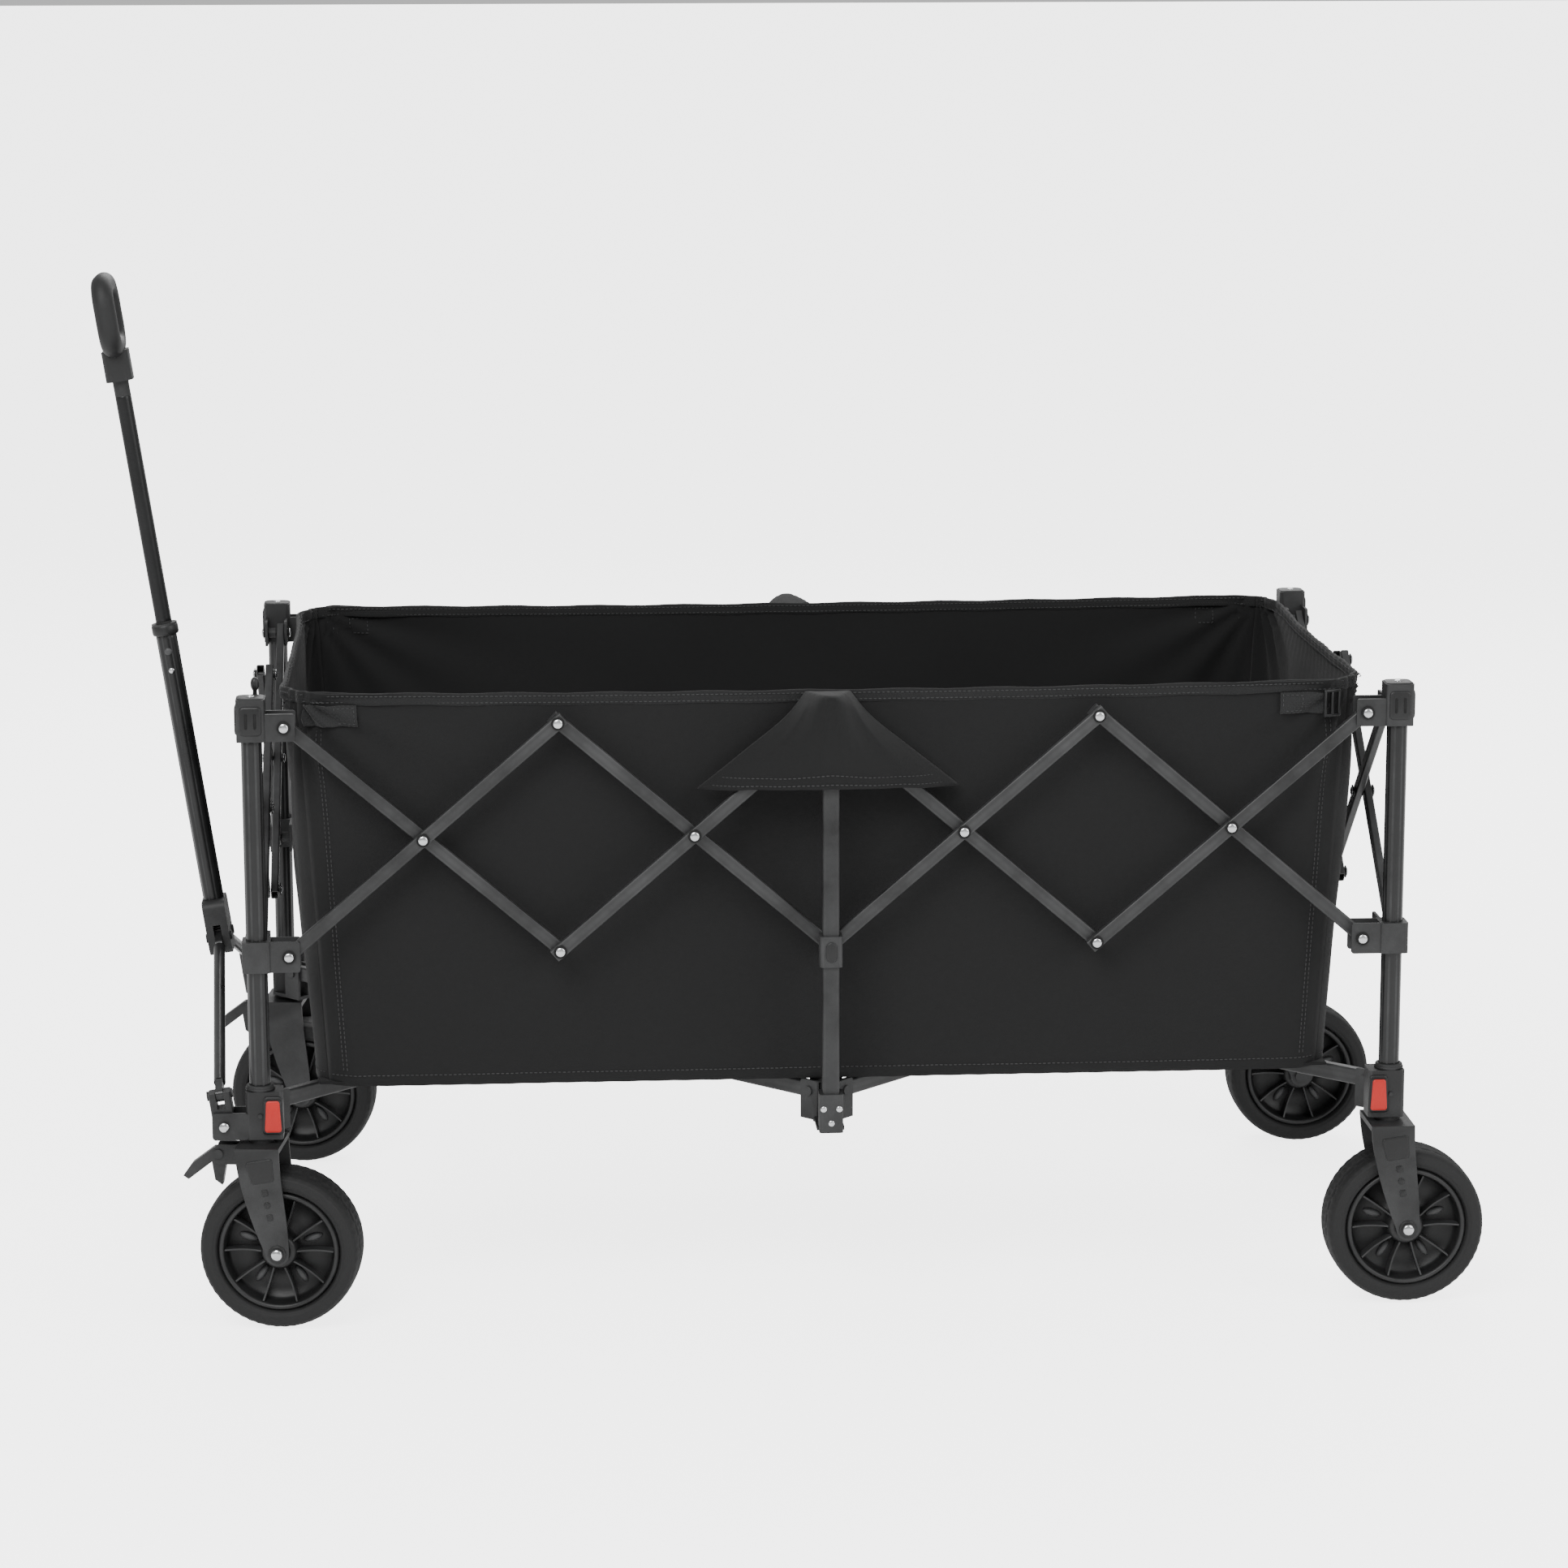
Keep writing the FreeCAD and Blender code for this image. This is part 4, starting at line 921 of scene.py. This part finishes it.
# %% [markdown]
# ## Which post the cloth moves with
# When the frame closes, the long walls move in with their middle posts, and the end walls move with a
# corner post. Every sewn piece on a wall follows the same rule, so one helper sets it for each.


def follow_wall(thing, face):
    """The piece moves with its wall's post, on a mesh of its own."""
    if face in ("near", "far"):
        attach(thing, f"{face}_middle_post")
        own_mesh(thing)
    else:
        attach(thing, f"{face}_near_post")
        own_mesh(thing)


def thicken(thing, thickness, offset=0.0):
    """Gives a sheet its cloth thickness with a Solidify modifier."""
    solid = thing.modifiers.new("cloth", "SOLIDIFY")
    solid.thickness = thickness
    solid.offset = offset
    solid.use_even_offset = False
    return thing


for face in LENGTHS:
    points, cut = wall_grid(face)
    wall = add_piece(f"{face}_wall", points, grid_faces(*WALL_STEPS), BAG_CLOTH, "fabric_tub", "tub_fabric",
                     cut, outward=False)
    thicken(wall, CLOTH)
    follow_wall(wall, face)
print("walls", {face: round(length, 3) for face, length in LENGTHS.items()})

# %% [markdown]
# ## Floor
# The floor panel rests on the folding arms. It is one padded cloth, cut here into three long strips that
# follow the near post, the middle and the far post, so that it can close like the real one does.

# %% Floor strips
FLOOR_LEVEL = tub_low[2] + 0.0015
FLOOR_STEPS = (110, 30)
FLOOR_INSET = 0.004


def floor_strip(name, low_y, high_y, body, drop):
    """A long strip with shallow quilting: a sheet over x and y, dented along lines across it."""
    reach = HALF[0] * (1 - FOOT_TAPER[0]) - FLOOR_INSET
    x = np.linspace(tub_middle[0] - reach, tub_middle[0] + reach, FLOOR_STEPS[0])[:, None]
    y = np.linspace(low_y, high_y, FLOOR_STEPS[1])[None, :]
    inside = np.sin(np.pi * (x - x.min()) / np.ptp(x)) ** 0.4
    sag = 0.0016 * inside * np.sin(19 * x + 3 * y) * np.sin(23 * y + 2 * x)
    seams = sum(hump(x, tub_middle[0] + shift, 0.004) for shift in (-0.28, 0.0, 0.28))
    z = FLOOR_LEVEL + drop + 0.002 + sag - 0.0022 * seams
    points = np.stack(np.broadcast_arrays(x, y, z), axis=-1)
    cut = np.stack(np.broadcast_arrays(x - x.min(), y - low_y), axis=-1)
    strip = add_piece(name, points, grid_faces(*FLOOR_STEPS), FLOOR_CLOTH, body, "tub_fabric", cut,
                      outward=False)
    thicken(strip, 0.0022)
    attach(strip, body)
    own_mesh(strip)
    return strip


floor_reach = HALF[1] * (1 - FOOT_TAPER[1]) - FLOOR_INSET
lines = [tub_middle[1] + share * floor_reach for share in (-1, -1 / 3, 1 / 3, 1)]
floor_strip("floor_near", lines[0], lines[1] + 0.004, "near_middle_post", 0.0)
floor_middle = floor_strip("floor_middle", lines[1], lines[2], "fabric_tub", 0.0016)
floor_strip("floor_far", lines[2] - 0.004, lines[3], "far_middle_post", 0.0)
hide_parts("fabric_tub")

# %% [markdown]
# ## Rim binding, seams and stitches
# A ribbed tape is folded over the rim and sewn with two rows of thread, and another seam runs along the
# foot of each wall. A stitch is a tiny six-sided bead, made once and copied along the seam's line by
# adding every seam point to every bead point.

# %% The binding tape and its two rows of thread
TAPE_HEIGHT = 0.0135
TAPE_THICK = 0.0046


def rim_height(face, along):
    """The height of the rim at each length along a wall."""
    return WALL_HEIGHT - RIM_DIP + rim_level(along, LENGTHS[face])


def binding(face):
    """A flat rounded section, ribbed along its faces, carried along the rim."""
    along = np.linspace(0.0, LENGTHS[face], 220)
    path = on_wall(face, along, rim_height(face, along) - TAPE_HEIGHT / 2 + 0.001)
    path[:, 2] += 0.0006 * np.sin(along * 60)
    turn = np.linspace(0, TAU, 20, endpoint=False)
    section = np.stack([TAPE_THICK / 2 * np.sign(np.cos(turn)) * np.abs(np.cos(turn)) ** 0.7,
                        TAPE_HEIGHT / 2 * np.sign(np.sin(turn)) * np.abs(np.sin(turn)) ** 0.55], axis=1)
    points, faces = carried(path, section)
    cut = np.stack(np.broadcast_arrays(along[:, None], turn[None] / TAU * 0.036), axis=-1)
    tape = add_piece(f"{face}_rim_binding", points, faces, BINDING_TAPE, "fabric_tub", "tub_fabric", cut)
    follow_wall(tape, face)
    return tape


def stitches(name, body_of, line, normal, pitch=0.0052, length=0.0036, thick=0.0006):
    """Small beads along a line of points on cloth, each turned to lie along it. body_of sets its body."""
    steps = np.linalg.norm(np.diff(line, axis=0), axis=1)
    run = np.concatenate([[0], np.cumsum(steps)])
    spots = np.arange(pitch, run[-1] - pitch, pitch)
    centre = np.stack([np.interp(spots, run, line[:, axis]) for axis in range(3)], axis=1)
    ahead = np.stack([np.interp(spots + 0.001, run, line[:, axis]) for axis in range(3)], axis=1)
    way = ahead - centre
    way /= np.linalg.norm(way, axis=1)[:, None]
    normals = np.broadcast_to(normal, line.shape)
    out = np.stack([np.interp(spots, run, normals[:, axis]) for axis in range(3)], axis=1)
    third = np.cross(way, out)
    ends = [(-length / 2, 0.5), (-length / 4, 1.0), (length / 4, 1.0), (length / 2, 0.5)]
    ring = [(math.cos(turn), math.sin(turn)) for turn in np.arange(4) * TAU / 4]
    rows = [centre + way * place + (out * x + third * y) * thick * size
            for place, size in ends for x, y in ring]
    points = np.stack(rows, axis=1)
    bead = grid_faces(len(ends), 4, False, True).tolist() + [[0, 1, 2, 3], [12, 13, 14, 15]]
    faces = (np.array(bead)[None] + (np.arange(len(spots)) * 16)[:, None, None]).reshape(-1, 4)
    row = add_piece(name, points, faces, THREAD, "fabric_tub", "tub_fabric", outward=True)
    body_of(row)
    return row


def wall_stitches(name, face, along, up, lift):
    """A row of stitches on a wall, at lengths along and up it."""
    out = rim_path(face, along)[1]
    normal = np.concatenate([out, np.zeros((len(along), 1))], axis=1)
    line = on_wall(face, along, up, lift)
    return stitches(name, lambda row: follow_wall(row, face), line, normal)


for face in LENGTHS:
    binding(face)
    along = np.linspace(0.003, LENGTHS[face] - 0.003, 420)
    for side_name, side in (("inner", -1), ("outer", 1)):
        for row_name, drop in (("upper", 0.0025), ("lower", 0.0095)):
            wall_stitches(f"{face}_rim_stitches_{side_name}_{row_name}", face, along,
                          rim_height(face, along) - drop, side * (TAPE_THICK / 2 + 0.0001))
    wall_stitches(f"{face}_foot_stitches", face, along, np.full_like(along, 0.012), CLOTH / 2 + 0.0003)
print("binding and stitches sewn")

# %% [markdown]
# ## Side seams and straps
# Each long wall is pieced from three panels, so two upright seams run down it close to the posts. Inside
# the corners a stitched box holds the webbing on, and outside a ribbed strap runs to the corner
# fitting and is sewn down with the same box. At the rear the strap passes through a ladder buckle.

# %% Seams, stitched boxes, straps and buckles
SEAM_FROM_END = 0.024
STRAP_ENDS = {"front": (0.067, 0.0095), "rear": (0.0796, 0.030)}
STRAP_TALL = 0.0225
STRAP_STEPS = (60, 14)
BOX_HALF = 0.0085
STRAP_LEVEL = WALL_HEIGHT - 0.0245


def from_end(face, distance, end):
    """A length along a wall measured from its handle end or from its rear end."""
    return distance if end == "front" else LENGTHS[face] - distance


def stitched_box(name, face, left, right, low, high, lift):
    """Four rows of stitches round a rectangle on a wall, as one closed line."""
    share = np.linspace(0, 1, 60)
    held = np.ones_like(share)
    along = np.concatenate([left + (right - left) * share, right * held, right - (right - left) * share,
                            left * held])
    up = np.concatenate([low * held, low + (high - low) * share, high * held, high - (high - low) * share])
    return wall_stitches(name, face, along, up, lift)


def strap(face, end, inner, outer):
    """A flat ribbed strap over the wall's outer face, with a box of stitches at its inner end."""
    along = np.linspace(from_end(face, inner, end), from_end(face, outer, end), STRAP_STEPS[0])[:, None]
    up = np.linspace(STRAP_LEVEL - STRAP_TALL / 2, STRAP_LEVEL + STRAP_TALL / 2, STRAP_STEPS[1])[None, :]
    ribs = 0.00035 * np.cos(up / 0.0028 * TAU)
    points = on_wall(face, along + 0 * up, up + 0 * along, 0.0038 + ribs + 0 * along)
    cut = np.stack(np.broadcast_arrays(along - along.min(), up - up.min()), axis=-1)
    band = add_piece(f"{face}_{end}_strap", points, grid_faces(*STRAP_STEPS), STRAP_WEBBING, "fabric_tub",
                     "tub_fabric", cut, outward=False)
    thicken(band, 0.0016)
    follow_wall(band, face)
    near_end = sorted((from_end(face, inner - 0.003, end), from_end(face, inner - 0.024, end)))
    for row_name, lift in (("outer", 0.0050), ("inner", -CLOTH / 2 - 0.0003)):
        stitched_box(f"{face}_{end}_strap_box_{row_name}", face, *near_end, STRAP_LEVEL - BOX_HALF,
                     STRAP_LEVEL + BOX_HALF, lift)


def buckle(face, end, distance):
    """A small frame with three bars across the strap."""
    along = np.array([from_end(face, distance, end)])
    place = on_wall(face, along, np.array([STRAP_LEVEL]), 0.0058)[0]
    out = np.array([*rim_path(face, along)[1][0], 0.0])
    _, across, rise = frame_of(out)
    bars = [plate(tapered_outline(0.0030, 0.0030, 0.030, 0.0012), soft_layers(0.0036, -0.0014),
                  place + across * shift, out) for shift in (-0.0085, 0.0, 0.0085)]
    bars += [plate(tapered_outline(0.020, 0.020, 0.0028, 0.0012), soft_layers(0.0036, -0.0014),
                   place + rise * shift, out) for shift in (-0.0135, 0.0135)]
    piece = add_piece(f"{face}_{end}_buckle", *join(bars), PANEL_PLASTIC, "fabric_tub", "frame_plastic")
    follow_wall(piece, face)


for face in ("near", "far"):
    for end in ("front", "rear"):
        up = np.linspace(0.014, WALL_HEIGHT - 0.020, 260)
        seam = from_end(face, SEAM_FROM_END, end)
        for row_name, shift in (("left", -0.0022), ("right", 0.0022)):
            wall_stitches(f"{face}_{end}_seam_{row_name}", face, np.full_like(up, seam + shift), up,
                          CLOTH / 2 + 0.0003)
        strap(face, end, *STRAP_ENDS[end])
    buckle(face, "rear", 0.0254)
print("seams and straps on", len(LENGTHS) // 2, "walls")

# %% [markdown]
# ## Middle flaps
# Over each middle post a three-cornered flap hangs from the rim and covers the post's top and the bars'
# ends. It is a sheet over two lengths, across and down: it starts under the binding, rises over the post,
# and falls outside it, while its slanting edges lie on the wall and make the shape of a small tent.

# %% The three-cornered flaps
FLAP_STEPS = (72, 48)
FLAP_TOP_WIDTH = 0.020
FLAP_HEM_WIDTH = 0.284
FLAP_DEPTH = 0.102
TENT_SHARES = [0.0, 0.10, 0.35, 0.68, 0.88, 1.0]
TENT_REACH = [0.3650, 0.3645, 0.3560, 0.3420, 0.3250, 0.3120]


def flap_points(face, lift=0.0):
    """Across by down. How far out it stands follows a profile over its width, eased in from the rim."""
    share = np.linspace(-1, 1, FLAP_STEPS[0])[:, None]
    fall = np.linspace(0, 1, FLAP_STEPS[1])[None, :]
    middle = pivot(f"{face}_middle_slider_pivot")
    side = -1 if face == "near" else 1
    half = (FLAP_TOP_WIDTH + (FLAP_HEM_WIDTH - FLAP_TOP_WIDTH) * fall) / 2
    tent = np.interp(np.abs(share), TENT_SHARES, TENT_REACH)
    rim = abs(tub_middle[1] + side * HALF[1]) + 0.0035
    ease = np.clip(fall / 0.24, 0, 1)
    ease = ease * ease * (3 - 2 * ease)
    creases = 0.0020 * np.sin(11 * share + 0.8 * side) * hump(fall, 0.42, 0.30) * (1 - np.abs(share) ** 3)
    ripples = 0.0011 * np.sin(17 * share * fall + 2.0) * fall
    ripples = ripples + 0.0016 * np.abs(np.sin(5.5 * share)) * hump(fall, 1.0, 0.5)
    out = rim + (tent - rim) * ease + (creases + ripples) * (1 - 0.7 * hump(share, 0, 0.12)) + lift
    bridge = hump(share * half, 0.0, 0.03)
    over = 0.0045 * hump(fall, 0.20, 0.13) * bridge
    start = 0.20 * bridge
    drop = np.clip((fall - start) / (1 - start), 0, 1) ** 1.04
    lifted = 0.007 * (1 - np.abs(share) ** 1.5) * fall ** 2
    z = tub_high[2] - 0.0055 + over - FLAP_DEPTH * drop + lifted
    x = middle[0] + share * half
    return np.stack(np.broadcast_arrays(x, side * out, z), axis=-1)


for face in ("near", "far"):
    points = flap_points(face)
    across = np.linspace(0, FLAP_HEM_WIDTH, FLAP_STEPS[0])[:, None]
    down = np.linspace(0, 0.15, FLAP_STEPS[1])[None, :]
    cut = np.stack(np.broadcast_arrays(across, down), axis=-1)
    flap = add_piece(f"{face}_middle_flap", points, grid_faces(*FLAP_STEPS), BAG_CLOTH, "fabric_tub",
                     "tub_fabric", cut, outward=False)
    thicken(flap, CLOTH)
    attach(flap, f"{face}_middle_post")
    lifted = flap_points(face, CLOTH / 2 + 0.0004)
    for row_name, row in (("upper", 41), ("lower", 45)):
        stitches(f"{face}_flap_hem_{row_name}", lambda thread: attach(thread, f"{face}_middle_post"),
                 lifted[2:-2, row], OUTWARD[face])

# %% [markdown]
# ## The pull handle
# The outer tube ends in a moulded collar with a spring button, and the inner tube slides in it. The
# junction at its foot has a serrated thumb latch. Skins over the plain tubes carry the flutes.

# %% Handle skins, collar and latch
slide = axis_of("handle_telescope")
if slide[2] < 0:
    slide = -slide
junction = (pivot("handle_junction_swing") + pivot("handle_far_rod_swing")) / 2
outer_low, outer_high = box("handle_outer_tube")
inner_high = box("handle_inner_tube")[1]


def up_handle(height):
    """A point on the handle's own line at a height above the floor."""
    return junction + slide * (height - junction[2]) / slide[2]


mouth = up_handle(outer_high[2] - 0.004)
tube_skin("outer_tube_skin", up_handle(0.392), mouth - slide * 0.012, 0.01165, "handle_outer_tube",
          POST_TUBE, "frame_steel")


def inner_flutes(angle, share):
    """Two wide flutes, one on each side."""
    return -0.0007 * np.exp(-(((np.abs(np.sin(angle)) - 1) / 0.06) ** 2)) * np.ones_like(share)


grip_foot = up_handle(inner_high[2] - 0.137)
tube_skin("inner_tube_skin", mouth + slide * 0.004, grip_foot, 0.0092, "handle_inner_tube", INNER_TUBE,
          "handle_aluminium", inner_flutes)
collar_profile = [(0.0120, -0.012), (0.0142, -0.0112), (0.0150, -0.0090), (0.0150, -0.0012),
                  (0.0140, 0.0006), (0.0100, 0.0012), (0.0100, -0.012)]
collar = turned(collar_profile, mouth, slide, 64)
add_piece("outer_tube_collar", *collar, PANEL_PLASTIC, "handle_outer_tube", "frame_plastic")
for name, drop, radius, material in (("spring_button", 0.030, 0.0042, GREY_PLASTIC_AND_PETAL_HIGHLIGHT),
                                     ("tube_rivet", 0.052, 0.0034, CHROME)):
    spot = mouth - slide * drop + np.array([0, -1, 0]) * 0.0116
    head = plate(disc_outline(radius), dome_layers(0.0022, -0.0004), spot, (0, -1, 0), slide)
    add_piece(name, *head, material, "handle_outer_tube", "frame_plastic")
latch_spot = up_handle(outer_low[2] + 0.028) + np.array([0, -1, 0]) * 0.0155
ribs = [plate(tapered_outline(0.013, 0.013, 0.0016, 0.0007), soft_layers(0.0016, -0.0004),
              latch_spot + slide * 0.0036 * step, (0, -1, 0), slide) for step in range(-3, 4)]
add_piece("latch_ribs", *join(ribs), PANEL_PLASTIC, "handle_outer_tube", "frame_plastic")
print("handle line leans", round(math.degrees(math.acos(slide[2])), 1), "degrees")

# %% [markdown]
# ## Floor, light and camera
# A pale floor that runs past the frame's edge on all sides gives a plain studio. One large soft light
# above the near side shapes the tubes, a second fills from the right, and a third from behind draws
# their edges.

# %% Studio


FLOOR_SEEN = 3.0
FLOOR_GLOW = 0.4


def studio_floor():
    """A wide flat sheet under the wheels, which glows for the eye so that it reads as white paper."""
    points = np.array([(-30, -30, 0), (30, -30, 0), (30, 60, 0), (-30, 60, 0)], float)
    mesh = bpy.data.meshes.new("studio_floor")
    mesh.from_pydata(points.tolist(), [], [[0, 1, 2, 3]])
    material = bpy.data.materials.new("pale_floor")
    material.use_nodes = True
    tree = material.node_tree
    shader = tree.nodes["Principled BSDF"]
    place = tree.nodes.new("ShaderNodeTexCoord").outputs["Object"]
    shade = noise(tree, place, 1.3, 4.0)
    tree.links.new(mixed(tree, shade, (0.90, 0.90, 0.90), (0.93, 0.93, 0.93)), shader.inputs["Base Color"])
    shader.inputs["Roughness"].default_value = 0.7
    shader.inputs["Emission Color"].default_value = (1, 1, 1, 1)
    seen = tree.nodes.new("ShaderNodeLightPath").outputs["Is Camera Ray"]
    glow = calculate(tree, "MULTIPLY_ADD", seen, FLOOR_SEEN, FLOOR_GLOW)
    tree.links.new(glow, shader.inputs["Emission Strength"])
    mesh.materials.append(material)
    thing = bpy.data.objects.new("studio_floor", mesh)
    bpy.context.scene.collection.objects.link(thing)


def area_light(name, place, target, size, power):
    """A square light that faces a target."""
    lamp = bpy.data.lights.new(name, "AREA")
    lamp.shape = "SQUARE"
    lamp.size = size
    lamp.energy = power
    thing = bpy.data.objects.new(name, lamp)
    thing.location = place
    thing.rotation_mode = "QUATERNION"
    thing.rotation_quaternion = (Vector(target) - Vector(place)).to_track_quat("-Z", "Y")
    bpy.context.scene.collection.objects.link(thing)


studio_floor()
world = bpy.data.worlds.new("studio")
world.use_nodes = True
world.node_tree.nodes["Background"].inputs["Color"].default_value = (1, 1, 1, 1)
world.node_tree.nodes["Background"].inputs["Strength"].default_value = 0.6
bpy.context.scene.world = world
area_light("key", (-1.6, -3.2, 3.6), (0, 0, 0.4), 2.6, 170)
area_light("fill", (3.0, -2.4, 2.2), (0, 0, 0.4), 2.4, 60)
area_light("edge", (0.4, 3.4, 3.0), (0, 0, 0.5), 3.0, 110)

# %% Camera
CAMERA_PLACE = Vector((-0.3284, -5.0388, 1.534))
YAW, PITCH, ROLL = 0.0671024, 0.1967225, -0.0019968
FOCAL_PER_FRAME = 5500 / 1932


def aim_camera():
    """A long lens that looks a little down and a little to the right, as a matrix of its own three axes."""
    ahead = Vector((math.sin(YAW) * math.cos(PITCH), math.cos(YAW) * math.cos(PITCH), -math.sin(PITCH)))
    right = Vector((math.cos(YAW), -math.sin(YAW), 0))
    up = right.cross(ahead)
    turn = Matrix((right, up, -ahead)).transposed() @ Matrix.Rotation(ROLL, 3, "Z")
    lens = bpy.data.cameras.new("camera")
    lens.sensor_width = 36
    lens.lens = 36 * FOCAL_PER_FRAME
    thing = bpy.data.objects.new("camera", lens)
    thing.matrix_world = Matrix.Translation(CAMERA_PLACE) @ turn.to_4x4()
    bpy.context.scene.collection.objects.link(thing)
    bpy.context.scene.camera = thing


aim_camera()
